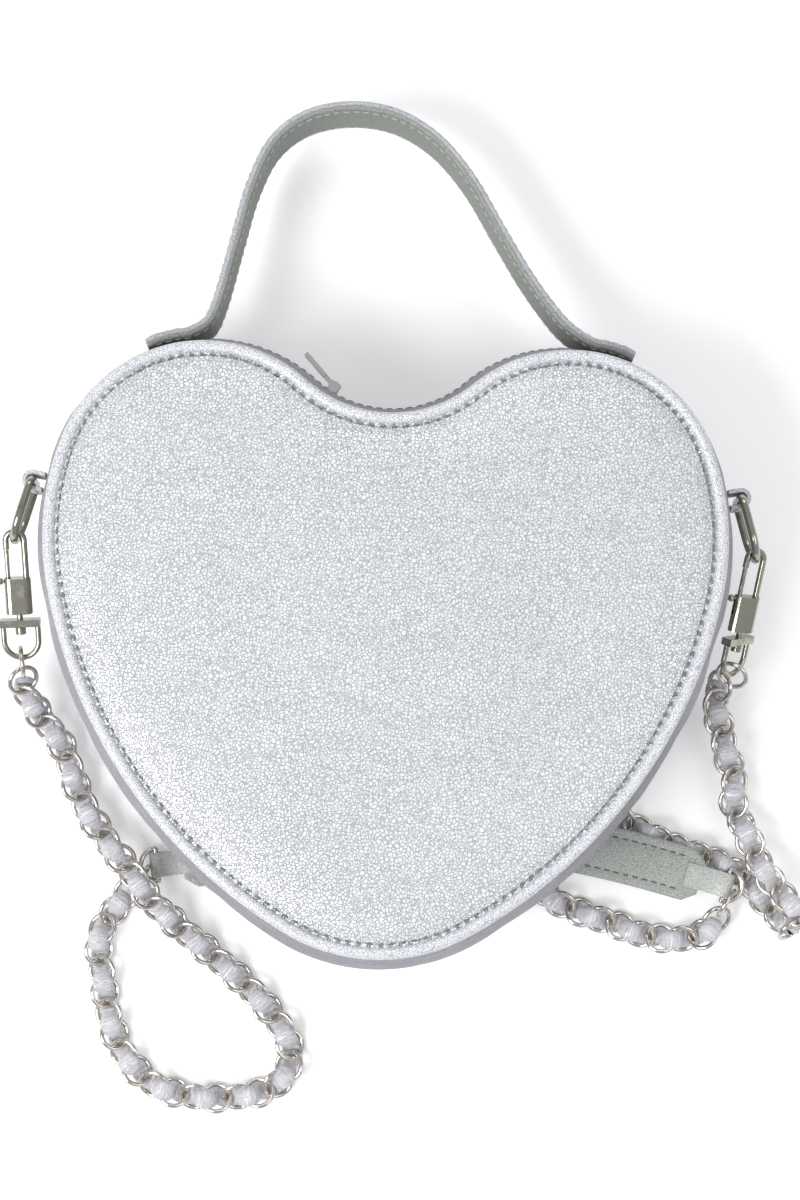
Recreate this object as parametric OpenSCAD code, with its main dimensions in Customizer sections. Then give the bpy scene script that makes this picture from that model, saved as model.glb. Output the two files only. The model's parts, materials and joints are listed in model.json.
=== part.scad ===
// Heart shaped purse with a top handle and a chain strap, lying on its back.
// Lengths are in millimetres and angles in degrees. +X is to the right, +Y towards the handle
// and +Z out of the front. The table is at z = 0. The bag leans a little, because its lower
// end rests on the strap's shoulder pad.

/* [Bag] */
// Half of the heart's width over the front piping
heart_half_w = 99; // [95:1:103]
// Radius of the heart's sides
side_r = 78; // [75:1:81]
// Angle that the side arc climbs above the widest line
side_up_a = 20; // [19:1:22]
// Angle that the side arc falls below the widest line
side_down_a = 11; // [9:1:13]
// Radius of the two lobes
lobe_r = 44; // [42:1:46]
// Radius of the valley between the lobes
valley_r = 37; // [34:1:40]
// Radius of the long flanks
flank_r = 147; // [141:1:153]
// Radius of the rounded tip
tip_r = 53; // [49:1:57]
// Depth of the bag from back to front, over the piping
bag_depth = 58; // [54:1:62]
// Thickness of the leather
leather_t = 1.6; // [1.2:0.1:1.8]
// Radius of the piping
piping_r = 1.8; // [1.5:0.1:2]
// How far the gusset bulges past the seams
bulge = 6; // [5:0.5:7]
// How far the padded front stands out in the middle
crown = 3; // [2:0.5:4]
// Thickness of the stiffening boards
board_t = 1.2; // [0.8:0.1:1.6]
// Thickness of the lining
lining_t = 0.6; // [0.4:0.1:0.8]
// Angle at which the bag leans on the shoulder pad
lean_a = 5; // [4.5:0.1:5.5]

/* [Zip] */
// Half of the widest opening of the parted zip
mouth_half = 7; // [6:0.5:8]
// Half of the distance between the leather edges along the closed zip
slot_half = 4.5; // [4.3:0.1:5]
// Thickness of the zip's tape
tape_t = 0.6; // [0.5:0.05:0.7]
// Pitch of the teeth along one side
tooth_pitch = 2.5; // [2.4:0.1:2.8]
// Length of the slider
slider_l = 9; // [8:0.5:9.5]
// Length of the pull, from its pin to its tip
pull_l = 13; // [11:0.5:14]

/* [Handle] */
// Width of the handle
handle_w = 22; // [18:1:24]
// Thickness of the handle's two layers together
handle_t = 3; // [2.4:0.2:3.4]
// Height of the handle's arch above the lobes
handle_rise = 75; // [69:1:81]
// Half of the distance between the points where the handle leaves the bag
handle_half_span = 57; // [55:1:59]
// How far the handle swings to the front and to the back
handle_swing_a = 12; // [8:1:12]

/* [Tabs and rings] */
// Angle of the tabs on the side arc, above the widest line
tab_a = 11; // [9:1:13]
// Width of a tab
tab_w = 11; // [9:0.5:11]
// Thickness of a tab's leather
tab_t = 1.4; // [1.2:0.1:1.5]
// Height of a ring's bar above the gusset
tab_h = 3.6; // [3.4:0.1:4.4]
// Radius of a ring's wire
ring_wire_r = 1.2; // [1.1:0.05:1.25]
// Half of a ring's width between the middles of its legs
ring_r = 7.5; // [7:0.25:8]
// Distance from a ring's bar to the middle of its bow
ring_reach = 18.5; // [17.5:0.5:19.5]

/* [Snap hooks] */
// Radius of the hook's bow, to the middle of its wire
hook_r = 2.7; // [2.7:0.05:2.9]
// Radius of the hook's wire
hook_wire_r = 0.95; // [0.85:0.05:0.95]
// Length of the hook's arm between bow and barrel
hook_arm = 11.5; // [10.5:0.5:12.5]
// Length of the hook's barrel
barrel_l = 11; // [10.5:0.5:13]
// Radius of the sliding gate
gate_r = 0.7; // [0.6:0.05:0.7]
// Travel of the sliding gate
gate_travel = 4.5; // [4:0.5:5]
// Width of the swivel's crossbar
eye_w = 12; // [11:0.5:13]
// Radius of the swivel eye's wire
eye_wire_r = 0.85; // [0.75:0.05:0.9]
// Angle at which the hooks droop from the rings
droop_a = 20; // [15:1:22]

/* [Chain strap] */
// Radius of a chain link, to the middle of its wire
link_r = 4.4; // [4.35:0.05:4.5]
// Radius of a link's wire
link_wire_r = 0.7; // [0.6:0.05:0.75]
// Pitch of the links
link_pitch = 6.65; // [6.5:0.05:6.8]
// Angle by which the links lean to either side
link_lean_a = 31; // [30:1:32]
// Width of the lace that is woven through the links
lace_w = 4.4; // [4:0.1:4.6]
// Thickness of the lace
lace_t = 0.7; // [0.5:0.1:0.8]
// How far the lace rises and falls between the links
lace_wave = 2.4; // [2.2:0.1:2.5]

/* [Shoulder pad] */
// Width of the shoulder pad
pad_w = 16.5; // [15:0.5:18]
// Thickness of the pad's core
pad_core_t = 1; // [0.8:0.1:1.6]
// Thickness of the pad's two leather faces
pad_face_t = 0.8; // [0.7:0.05:1]
// Radius of the pad's rings, to the middle of the wire
pad_ring_r = 5; // [4.5:0.25:5.5]

/* [Hidden] */
$fn = 32;

// Clearance between sewn layers
seam_gap = 0.05;
// Clearance between a moving piece and its seat
run_gap = 0.06;
// Overrun of a cut past the face that it opens
cut = 1;
half_turn = 180;
quarter_turn = 90;

// Centres of the heart's arcs, on its right half
side_c = [heart_half_w - side_r, 0];
lobe_c = side_c + (side_r - lobe_r) * [cos(side_up_a), sin(side_up_a)];
valley_a = asin(lobe_c.x / (lobe_r + valley_r));
valley_c = [0, lobe_c.y + (lobe_r + valley_r) * cos(valley_a)];
flank_c = side_c - (flank_r - side_r) * [cos(side_down_a), -sin(side_down_a)];
tip_a = -acos(-flank_c.x / (flank_r - tip_r));
tip_c = [0, flank_c.y + (flank_r - tip_r) * sin(tip_a)];
lobe_top = lobe_c.y + lobe_r;
tip_y = tip_c.y - tip_r;
mid_z = bag_depth / 2;

// A station on an arc is [x, y, outward x, outward y]; sign is -1 on the valley
function on_arc(c, r, a, sign = 1) = [c.x + r * cos(a), c.y + r * sin(a), sign * cos(a), sign * sin(a)];
function arc_run(c, r, a0, a1, n, sign = 1) =
    [for (i = [0:n - 1]) on_arc(c, r, a0 + (a1 - a0) * i / n, sign)];
function flip(s) = [-s[0], s[1], -s[2], s[3]];
right_half = concat(
    arc_run(tip_c, tip_r, -quarter_turn, tip_a, 4),
    arc_run(flank_c, flank_r, tip_a, -side_down_a, 8),
    arc_run(side_c, side_r, -side_down_a, side_up_a, 9),
    arc_run(lobe_c, lobe_r, side_up_a, quarter_turn, 7),
    arc_run(lobe_c, lobe_r, quarter_turn, quarter_turn + valley_a, 6),
    arc_run(valley_c, valley_r, -quarter_turn + valley_a, -quarter_turn, 5, -1),
    [on_arc(valley_c, valley_r, -quarter_turn, -1)]);
half_n = len(right_half) - 1;
lobe_n = half_n - 11;
edge = concat(right_half, [for (i = [half_n - 1:-1:1]) flip(right_half[i])]);
gusset_run = [for (i = [len(edge) - lobe_n:len(edge) + lobe_n]) edge[i % len(edge)]];
function out(s, d) = [s[0] + s[2] * d, s[1] + s[3] * d];
function lifted(p, z) = [p.x, p.y, z];
function loop_at(d, z) = [for (s = edge) lifted(out(s, d), z)];

// Solid through a list of rings, each a list of points that turns the right way round its run
module sweep(rings, closed = false) {
    n = len(rings);
    m = len(rings[0]);
    last = closed ? n - 1 : n - 2;
    sides = [for (i = [0:last], j = [0:m - 1])
        let (a = i * m + j, b = i * m + (j + 1) % m, c = ((i + 1) % n) * m + (j + 1) % m,
            d = ((i + 1) % n) * m + j)
        each [[a, d, c], [a, c, b]]];
    caps = closed ? [] : [[for (j = [0:m - 1]) j], [for (j = [m - 1:-1:0]) (n - 1) * m + j]];
    polyhedron(points = [for (r = rings) each r], faces = concat(sides, caps), convexity = 8);
}

module heart(inset) {
    polygon([for (s = edge) out(s, -inset)]);
}

// Offset of the gusset's outer face at a height, from the outline
function wall(z) = bulge * (1 - pow((z - mid_z) / mid_z, 2)) - piping_r;
seam_lo = 2 * piping_r + seam_gap;
seam_hi = bag_depth - seam_lo;
panel_inset = 2 * piping_r + seam_gap;
mid_wall = wall(mid_z);

// The bag leans about the line where its lobes touch the table
module leaning() {
    translate([0, lobe_top, 0]) rotate([-lean_a, 0, 0]) translate([0, -lobe_top, 0]) children();
}
// The part's origin lies under the middle of the bag and its handle
origin_y = 6;
module placed() {
    translate([0, -origin_y, -piping_r * sin(lean_a)]) leaning() children();
}

// Wall between two heights at each station; spans gives [low, high] for station i
function wall_ring(s, lo, hi, n, t, drop = 0) = concat(
    [for (j = [0:n]) let (z = lo + (hi - lo) * j / n) lifted(out(s, wall(z) - drop - t), z)],
    [for (j = [n:-1:0]) let (z = lo + (hi - lo) * j / n) lifted(out(s, wall(z) - drop), z)]);

crown_shares = [0, 0.05, 0.15, 0.35, 0.7];
function crown_at(share) = crown * (1 - pow(1 - share / crown_shares[4], 2));
panel_lo = bag_depth - leather_t - piping_r / 2;
module front_panel() {
    color([0.80, 0.80, 0.84]) sweep(concat(
        [for (i = [4:-1:0]) loop_at(-panel_inset - crown_shares[i] * lobe_r,
            panel_lo + crown_at(crown_shares[i]))],
        [for (i = [0:4]) loop_at(-panel_inset - crown_shares[i] * lobe_r,
            panel_lo + leather_t + crown_at(crown_shares[i]))]));
}

board_hi = panel_lo - 3 * seam_gap;
module front_padding() {
    color([0.93, 0.92, 0.88]) sweep(concat(
        [loop_at(-panel_inset - crown_shares[1] * lobe_r, board_hi + seam_gap)],
        [for (i = [1:4]) loop_at(-panel_inset - crown_shares[i] * lobe_r,
            panel_lo - seam_gap + crown_at(crown_shares[i]))]));
}

module front_board() {
    color([0.72, 0.66, 0.55]) translate([0, 0, board_hi - board_t]) linear_extrude(board_t)
        heart(panel_inset + leather_t);
}

piping_n = 8;
module piping(z) {
    sweep([for (s = edge) [for (j = [0:piping_n - 1]) let (a = 360 * j / piping_n)
        lifted(out(s, piping_r * (sin(a) - 1)), z + piping_r * cos(a))]], closed = true);
}
module front_piping() { color([0.82, 0.82, 0.87]) piping(bag_depth - piping_r); }
module back_piping() { color([0.82, 0.82, 0.87]) piping(piping_r); }

module gusset() {
    color([0.66, 0.64, 0.70]) sweep([for (s = gusset_run) wall_ring(s, seam_lo, seam_hi, 5, leather_t)]);
}

module back_panel() {
    color([0.74, 0.74, 0.78]) linear_extrude(leather_t) heart(panel_inset);
}
module back_board() {
    color([0.72, 0.66, 0.55]) translate([0, 0, leather_t + seam_gap]) linear_extrude(board_t)
        heart(panel_inset + leather_t);
}

// Zip: the length along it runs from the right lobe's top to the left lobe's top
radian = half_turn / PI;
zip_lobe_l = lobe_r * valley_a / radian;
zip_valley_l = 2 * valley_r * valley_a / radian;
zip_l = 2 * zip_lobe_l + zip_valley_l;
function on_zip(s) =
    s < zip_lobe_l ? on_arc(lobe_c, lobe_r, quarter_turn + s / lobe_r * radian)
    : s < zip_lobe_l + zip_valley_l
        ? on_arc(valley_c, valley_r, -quarter_turn + valley_a - (s - zip_lobe_l) / valley_r * radian, -1)
        : on_arc([-lobe_c.x, lobe_c.y], lobe_r,
            quarter_turn - valley_a + (s - zip_lobe_l - zip_valley_l) / lobe_r * radian);
slider_share = 0.9;
slider_s = zip_lobe_l + slider_share * zip_valley_l;
mouth_end = slider_s + slider_l / 2;
mouth_start = 2 * tooth_pitch;
function parted(s) = s < mouth_start || s > mouth_end ? 0
    : mouth_half * sin(half_turn * (s - mouth_start) / (mouth_end - mouth_start));
zip_n = 36;
zip_run = [for (i = [0:zip_n]) let (s = zip_l * i / zip_n) [s, on_zip(s)]];
module zip_strip_back() {
    color([0.66, 0.64, 0.70]) sweep([for (r = zip_run)
        wall_ring(r[1], seam_lo, mid_z - slot_half - parted(r[0]), 2, leather_t)]);
}
module zip_strip_front() {
    color([0.66, 0.64, 0.70]) sweep([for (r = zip_run)
        wall_ring(r[1], mid_z + slot_half + parted(r[0]), seam_hi, 2, leather_t)]);
}

// Distance from the zip's middle to the tape's edge, how far the tape runs under the leather, and its
// clearance there
tape_edge = 1.8;
tape_under = 6;
tape_gap = 0.25;
tape_drop = leather_t + tape_gap;
module zip_tape_back() {
    color([0.55, 0.55, 0.58]) sweep([for (r = zip_run)
        wall_ring(r[1], mid_z - slot_half - tape_under - parted(r[0]), mid_z - tape_edge - parted(r[0]),
            1, tape_t, tape_drop)]);
}
module zip_tape_front() {
    color([0.55, 0.55, 0.58]) sweep([for (r = zip_run)
        wall_ring(r[1], mid_z + tape_edge + parted(r[0]), mid_z + slot_half + tape_under + parted(r[0]),
            1, tape_t, tape_drop)]);
}

// A frame on the zip at length s, with +X outwards and +Y along the zip
module at_zip(s) {
    st = on_zip(s);
    translate([st[0], st[1], mid_z]) rotate([0, 0, atan2(st[3], st[2])]) children();
}
tape_mid = mid_wall - tape_drop - tape_t / 2;
tooth_w = 1.05;
tooth_t = 1.8;
tooth_reach = 0.9;
tooth_gap = 0.2;
tooth_l = tape_edge + tooth_reach - tooth_gap;
teeth_n = floor((zip_l - 2 * mouth_start) / tooth_pitch);
module tooth_row(phase, dir) {
    for (i = [0:teeth_n - 1]) {
        s = mouth_start + (i + phase) * tooth_pitch;
        at_zip(s) translate([tape_mid, 0, dir * (parted(s) + tape_edge - tooth_gap - tooth_l / 2)])
            cube([tooth_t, tooth_w, tooth_l], center = true);
    }
}
module zip_teeth_front() { color([0.75, 0.75, 0.77]) tooth_row(0, 1); }
module zip_teeth_back() { color([0.75, 0.75, 0.77]) tooth_row(0.5, -1); }
stop_l = 2;
module zip_stops() {
    color([0.75, 0.75, 0.77]) for (s = [mouth_start - stop_l, zip_l - mouth_start + stop_l])
        at_zip(s) translate([tape_mid, 0, 0])
            cube([tooth_t, stop_l, 2 * (tape_edge - seam_gap)], center = true);
}

// Slider: two plates joined by a post between the parted teeth, with ears for the pull's pin
slider_w = 8;
plate_t = 0.9;
plate_gap = 1.3;
post_l = 2;
post_w = 1.3;
pin_r = 0.7;
pin_h = 2.3;
ear_t = 1;
pull_eye_r = 1.6;
pull_eye_w = 2.4;
plate_top = tape_mid + plate_gap + plate_t;
module zip_slider() {
    color([0.78, 0.78, 0.80]) at_zip(slider_s) difference() {
        union() {
            for (x = [tape_mid + plate_gap, tape_mid - plate_gap - plate_t])
                translate([x, -slider_l / 2, -slider_w / 2]) cube([plate_t, slider_l, slider_w]);
            translate([tape_mid - plate_gap - plate_t / 2, -slider_l / 2, -post_w / 2])
                cube([2 * plate_gap + plate_t, post_l, post_w]);
            for (side = [-1, 1])
                translate([plate_top - plate_t / 2, 0, side * (pull_eye_w / 2 + run_gap + ear_t / 2)])
                    rotate([0, quarter_turn, 0])
                        translate([-ear_t / 2, -pull_eye_r, 0])
                            cube([ear_t, 2 * pull_eye_r, pin_h + pin_r + plate_t]);
        }
        translate([plate_top + pin_h, 0, 0])
            cylinder(r = pin_r, h = pull_eye_w + 2 * ear_t + cut, center = true);
    }
    color([0.78, 0.78, 0.80]) at_zip(slider_s) translate([plate_top + pin_h, 0, 0])
        cylinder(r = pin_r, h = pull_eye_w + 2 * ear_t + 2 * run_gap, center = true);
}
pull_up_a = 15;
pull_w = 4.6;
pull_t = 1.2;
module zip_pull() {
    color([0.78, 0.78, 0.80]) at_zip(slider_s) translate([plate_top + pin_h, 0, 0])
        rotate([0, 0, -pull_up_a]) difference() {
            union() {
                cylinder(r = pull_eye_r, h = pull_eye_w, center = true);
                translate([-pull_t / 2, 0, -pull_eye_w / 2]) cube([pull_t, pull_l / 2, pull_eye_w]);
                translate([-pull_t / 2, pull_l / 3, -pull_w / 2]) cube([pull_t, pull_l * 2 / 3, pull_w]);
            }
            cylinder(r = pin_r + run_gap, h = pull_eye_w + cut, center = true);
        }
}

// Lining: a thin box of cloth inside the walls, open at the zip
lining_inset = piping_r + leather_t + tooth_t;
lining_lo = leather_t + board_t + 3 * seam_gap;
lining_hi = board_hi - board_t - seam_gap;
lining_slot_w = 62;
module lining() {
    color([0.45, 0.45, 0.47]) difference() {
        translate([0, 0, lining_lo]) linear_extrude(lining_hi - lining_lo) heart(lining_inset);
        translate([0, 0, lining_lo + lining_t]) linear_extrude(lining_hi - lining_lo - 2 * lining_t)
            heart(lining_inset + lining_t);
        translate([-lining_slot_w / 2, 0, mid_z - slot_half - mouth_half])
            cube([lining_slot_w, lobe_top, 2 * (slot_half + mouth_half)]);
    }
}

// Handle: its route is a foot on each lobe and an arch, whose points are shares of half span and rise
foot_out_a = 67;
foot_in_a = 82;
foot_n = 4;
handle_seat_r = lobe_r + mid_wall + seam_gap + handle_t / 2;
arch_shares = [[-0.955, 0.115], [-0.905, 0.20], [-0.86, 0.33], [-0.81, 0.49], [-0.745, 0.68],
    [-0.64, 0.85], [-0.47, 0.955], [-0.24, 0.995], [0, 0.97], [0.215, 0.875], [0.395, 0.72],
    [0.555, 0.52], [0.71, 0.33], [0.86, 0.18], [0.95, 0.115]];
function foot_point(a) = lobe_c + handle_seat_r * [cos(a), sin(a)];
handle_points = concat(
    [for (i = [0:foot_n]) let (p = foot_point(foot_out_a + (foot_in_a - foot_out_a) * i / foot_n)) [-p.x, p.y]],
    [for (p = arch_shares) [p.x * handle_half_span, lobe_top + p.y * handle_rise]],
    [for (i = [foot_n:-1:0]) foot_point(foot_out_a + (foot_in_a - foot_out_a) * i / foot_n)]);

// Smooth curve through points, with k steps between each two
function spline_at(a, b, c, d, t) = ((2 * b) + (c - a) * t + (2 * a - 5 * b + 4 * c - d) * pow(t, 2)
    + (3 * b - a - 3 * c + d) * pow(t, 3)) / 2;
function spline(p, k) = concat([for (i = [0:len(p) - 2], j = [0:k - 1])
    spline_at(i > 0 ? p[i - 1] : 2 * p[0] - p[1], p[i], p[i + 1],
        i + 2 < len(p) ? p[i + 2] : 2 * p[i + 1] - p[i], j / k)], [p[len(p) - 1]]);
handle_route = spline(handle_points, 3);
function across(p, i) = let (
    a = p[max(i - 1, 0)], b = p[min(i + 1, len(p) - 1)], d = b - a, l = norm(d)) [-d.y, d.x] / l;
module handle_band(from, to) {
    last = len(handle_route) - 1;
    linear_extrude(handle_w, center = true) polygon(concat(
        [for (i = [0:last]) handle_route[i] + from * across(handle_route, i)],
        [for (i = [last:-1:0]) handle_route[i] + to * across(handle_route, i)]));
}
// Height over the lobes of the line where the arch's hinge lies
hinge_h = 11;
hinge_y = lobe_top + hinge_h;
hinge_gap = 0.3;
module handle_foot(side) {
    color([0.70, 0.69, 0.74]) translate([0, 0, mid_z]) intersection() {
        handle_band(-handle_t / 2, handle_t / 2);
        translate([side * lobe_c.x - lobe_r, 0, -handle_w])
            cube([2 * lobe_r, hinge_y, 2 * handle_w]);
    }
}
module handle_foot_left() { handle_foot(-1); }
module handle_foot_right() { handle_foot(1); }
module handle_layer(from, to) {
    rise = tan(handle_swing_a + 1) * handle_w;
    translate([0, 0, mid_z]) difference() {
        handle_band(from, to);
        translate([-2 * handle_half_span, hinge_y + hinge_gap, 0])
            rotate([quarter_turn, 0, quarter_turn]) linear_extrude(4 * handle_half_span)
                polygon([[0, 0], [rise, handle_w], [-lobe_top, handle_w], [-lobe_top, -handle_w],
                    [rise, -handle_w]]);
    }
}
module handle_outer() { color([0.80, 0.80, 0.84]) handle_layer(seam_gap / 2, handle_t / 2); }
module handle_inner() { color([0.60, 0.64, 0.60]) handle_layer(-handle_t / 2, -seam_gap / 2); }

// Tabs and rings. A ring's bar is at the tab's eye; side is -1 on the left and 1 on the right
tab_hole_r = ring_wire_r + 0.4;
tab_r = tab_hole_r + tab_t;
tab_station = on_arc(side_c, side_r, tab_a);
bar_xy = out(tab_station, mid_wall + tab_h);
module at_side(side) {
    translate([side * bar_xy.x, bar_xy.y, mid_z]) children();
}
module tab(side) {
    color([0.74, 0.73, 0.78]) at_side(side)
        rotate([0, 0, side > 0 ? tab_a : half_turn - tab_a])
            linear_extrude(tab_w, center = true) difference() {
                union() {
                    circle(r = tab_r);
                    translate([-tab_h + seam_gap, -tab_r]) square([tab_h - seam_gap, 2 * tab_r]);
                }
                circle(r = tab_hole_r);
            }
}
module tab_left() { tab(-1); }
module tab_right() { tab(1); }

ring_bend = 2.4;
ring_down_a = 74;
module bend(r, wire, a) { rotate_extrude(angle = a) translate([r, 0]) circle(r = wire); }
module rod(l, wire) { cylinder(r = wire, h = l); }
module d_ring() {
    straight = ring_reach - ring_r;
    flat = ring_r - ring_bend;
    rotate([quarter_turn, 0, 0]) {
        translate([0, -flat, 0]) rotate([-quarter_turn, 0, 0]) rod(2 * flat, ring_wire_r);
        for (side = [-1, 1]) scale([1, side, 1]) {
            translate([ring_bend, flat, 0]) rotate([0, 0, quarter_turn]) bend(ring_bend, ring_wire_r, quarter_turn);
            translate([ring_bend, ring_r, 0]) rotate([0, quarter_turn, 0])
                rod(straight - ring_bend, ring_wire_r);
        }
        translate([straight, 0, 0]) rotate([0, 0, -quarter_turn]) bend(ring_r, ring_wire_r, half_turn);
    }
}
module ring(side) {
    color([0.62, 0.62, 0.58]) at_side(side)
        rotate([0, 0, side > 0 ? -ring_down_a : ring_down_a - half_turn]) d_ring();
}
module ring_left() { ring(-1); }
module ring_right() { ring(1); }

// Snap hooks. The hook's own origin is the bow of its ring, with +X back towards the ring
hook_down_a = [86.5, 99];
hook_roll_a = [0, 22];
eye_roll_a = [0, 50];
function hook_xy(side) = [side * (bar_xy.x + ring_reach * cos(ring_down_a)),
    bar_xy.y - ring_reach * sin(ring_down_a)];
module at_hook(side, rolls) {
    i = side > 0 ? 1 : 0;
    p = hook_xy(side);
    translate([p.x, p.y, mid_z]) rotate([0, 0, half_turn - hook_down_a[i]]) rotate([0, -droop_a, 0])
        rotate([rolls[i], 0, 0]) children();
}
barrel_r = 1.9;
barrel_half = 2.1;
barrel_n = 8;
hook_tip = 2.6;
bore_r = gate_r + run_gap;
knob_r = 1.1;
knob_out = hook_r + 2.5;
stem_r = 0.5;
knob_u = hook_arm + 0.9;
neck_r = 0.9;
neck_l = 1.8;
bar_t = 2.2;
bar_d = 3.4;
head_r = 1.6;
head_l = 2;
head_gap = 0.3;
function stadium() = concat(
    [for (i = [0:barrel_n]) let (a = -quarter_turn + half_turn * i / barrel_n)
        [barrel_half + barrel_r * cos(a), barrel_r * sin(a)]],
    [for (i = [0:barrel_n]) let (a = quarter_turn + half_turn * i / barrel_n)
        [-barrel_half + barrel_r * cos(a), barrel_r * sin(a)]]);
barrel_end = hook_arm + barrel_l;
bar_u = barrel_end + neck_l;
module hook(side) {
    color([0.62, 0.62, 0.58]) at_hook(side, hook_roll_a) difference() {
        union() {
            rotate([0, 0, -quarter_turn]) bend(hook_r, hook_wire_r, half_turn);
            translate([-hook_arm - barrel_r / 2, -hook_r, 0]) rotate([0, quarter_turn, 0])
                rod(hook_arm + barrel_r / 2, hook_wire_r);
            translate([-hook_tip, hook_r, 0]) rotate([0, quarter_turn, 0]) rod(hook_tip, hook_wire_r);
            translate([-barrel_end, 0, 0]) rotate([quarter_turn, 0, quarter_turn])
                linear_extrude(barrel_l) polygon(stadium());
            translate([-bar_u - bar_t - head_gap - head_l / 2, 0, 0]) rotate([0, quarter_turn, 0])
                rod(neck_l + bar_t + head_gap + head_l, neck_r);
            translate([-bar_u - bar_t - head_gap - head_l, 0, 0]) rotate([0, quarter_turn, 0])
                rod(head_l, head_r);
        }
        translate([-barrel_end + bore_r, hook_r, 0]) rotate([0, quarter_turn, 0])
            rod(barrel_l, bore_r);
        translate([-knob_u - gate_travel - stem_r - run_gap, hook_r, -stem_r - run_gap])
            cube([knob_u - hook_arm + gate_travel + 2 * stem_r + cut, barrel_r + barrel_half,
                2 * (stem_r + run_gap)]);
    }
}
module hook_left() { hook(-1); }
module hook_right() { hook(1); }
gate_l = hook_arm - hook_tip + gate_travel;
module gate(side) {
    color([0.68, 0.68, 0.64]) at_hook(side, hook_roll_a) {
        translate([-hook_tip - hinge_gap - gate_l, hook_r, 0]) rotate([0, quarter_turn, 0])
            rod(gate_l, gate_r);
        translate([-knob_u, hook_r, 0]) rotate([-quarter_turn, 0, 0]) rod(knob_out - hook_r, stem_r);
        translate([-knob_u, knob_out, 0]) sphere(r = knob_r);
    }
}
module gate_left() { gate(-1); }
module gate_right() { gate(1); }

eye_half = eye_w / 2 - eye_wire_r;
eye_leg = 4.6;
eye_u = bar_u + bar_t + eye_leg + eye_half;
module swivel(side) {
    color([0.62, 0.62, 0.58]) at_hook(side, eye_roll_a) difference() {
        union() {
            translate([-bar_u - bar_t, -eye_w / 2, -bar_d / 2]) cube([bar_t, eye_w, bar_d]);
            for (v = [-1, 1]) translate([-bar_u - bar_t - eye_leg, v * eye_half, 0])
                rotate([0, quarter_turn, 0]) rod(eye_leg + bar_t / 2, eye_wire_r);
            translate([-bar_u - bar_t - eye_leg, 0, 0]) rotate([0, 0, quarter_turn])
                bend(eye_half, eye_wire_r, half_turn);
        }
        translate([-bar_u - bar_t - cut, 0, 0]) rotate([0, quarter_turn, 0])
            rod(bar_t + 2 * cut, neck_r + run_gap);
    }
}
module swivel_left() { swivel(-1); }
module swivel_right() { swivel(1); }

// Routes of the two chains on the table, from a swivel eye to a ring of the shoulder pad
route_left = [[-108.6, -40.6, 23.6], [-107.9, -50.7, 17], [-103, -59, 10.3], [-96.9, -68.2, 7.8],
    [-92, -81.5, 7], [-85, -93, 9], [-75.8, -103.7, 12.6], [-68.6, -113.6, 10.8], [-60, -122, 6.3],
    [-48.5, -131.7, 3.8], [-38.5, -140.5, 3.1], [-29.5, -150.5, 3.1], [-25, -160.5, 3.1],
    [-29, -170, 3.1], [-40, -174, 3.1], [-54, -174.5, 3.1], [-67, -171, 3.1], [-76, -162.5, 3.1],
    [-81, -151.5, 3.1], [-83.5, -139, 3.1], [-85, -125.9, 3.6], [-79.3, -115.6, 3.1],
    [-73, -107.2, 5.3]];
route_right = [[106, -39.3, 22.2], [101.9, -46.2, 14.4], [106, -62.9, 9.7], [109.1, -72, 7.7],
    [109, -79, 7.6], [113.5, -89.5, 9.6], [118.5, -99.5, 10.9], [123.5, -105.8, 12],
    [128.4, -111.7, 10.9], [127.9, -117.1, 7.5], [127.3, -117.3, 5.1], [121.2, -111.1, 3.6],
    [114.1, -103, 3.9], [103.9, -97.5, 3.1], [91.5, -93.5, 3.1], [79.5, -88, 3.1],
    [68, -82.5, 3.1], [56.6, -81.5, 3], [46.9, -89, 3.1], [46.1, -99.2, 3], [53.8, -110.2, 3.3],
    [63, -114.5, 3.1], [73.7, -117.9, 3.1], [86.7, -121.9, 3.2], [101.1, -120.3, 3.8],
    [107.7, -110, 7.8]];
route_steps = 6;
function lengths(p) = [for (i = 0, s = 0; i < len(p); i = i + 1,
    s = i < len(p) ? s + norm(p[i] - p[i - 1]) : s) s];
function course(points) = let (p = spline(points, route_steps), l = lengths(p))
    [for (k = [0:2]) [for (i = [0:len(p) - 1]) [l[i], p[i][k]]]];
function total(c) = c[0][len(c[0]) - 1][0];
function along(c, s) = [lookup(s, c[0]), lookup(s, c[1]), lookup(s, c[2])];
probe = 0.5;
function heading(c, s) = let (d = along(c, s + probe) - along(c, s - probe)) d / norm(d);
course_left = course(route_left);
course_right = course(route_right);
// Leans of the first links, in the swivel eyes, and of the last ones, in the pad's rings
first_left_a = 80;
first_right_a = 2;
last_left_a = -82;
last_right_a = -79;
// Where the first and last links stand on their route
link_start = 0.5;
link_end = 0;
function links(c) = ceil((total(c) - link_start - link_end) / link_pitch);
function link_s(c, i) = link_start + (total(c) - link_start - link_end) * i / links(c);
module chain(c, sign, first_a, last_a) {
    n = links(c);
    for (i = [0:n]) {
        s = link_s(c, i);
        p = along(c, s);
        d = heading(c, max(s, probe));
        lean = sign * (i % 2 == 0 ? 1 : -1) * (i == 0 ? first_a : i == n ? last_a : link_lean_a);
        translate(p) rotate([0, -asin(d.z), atan2(d.y, d.x)]) rotate([lean, 0, 0])
            rotate_extrude() translate([link_r, 0]) circle(r = link_wire_r);
    }
}
module chain_left() { color([0.70, 0.70, 0.66]) chain(course_left, 1, first_left_a, last_left_a); }
module chain_right() { color([0.70, 0.70, 0.66]) chain(course_right, -1, first_right_a, last_right_a); }

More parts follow.
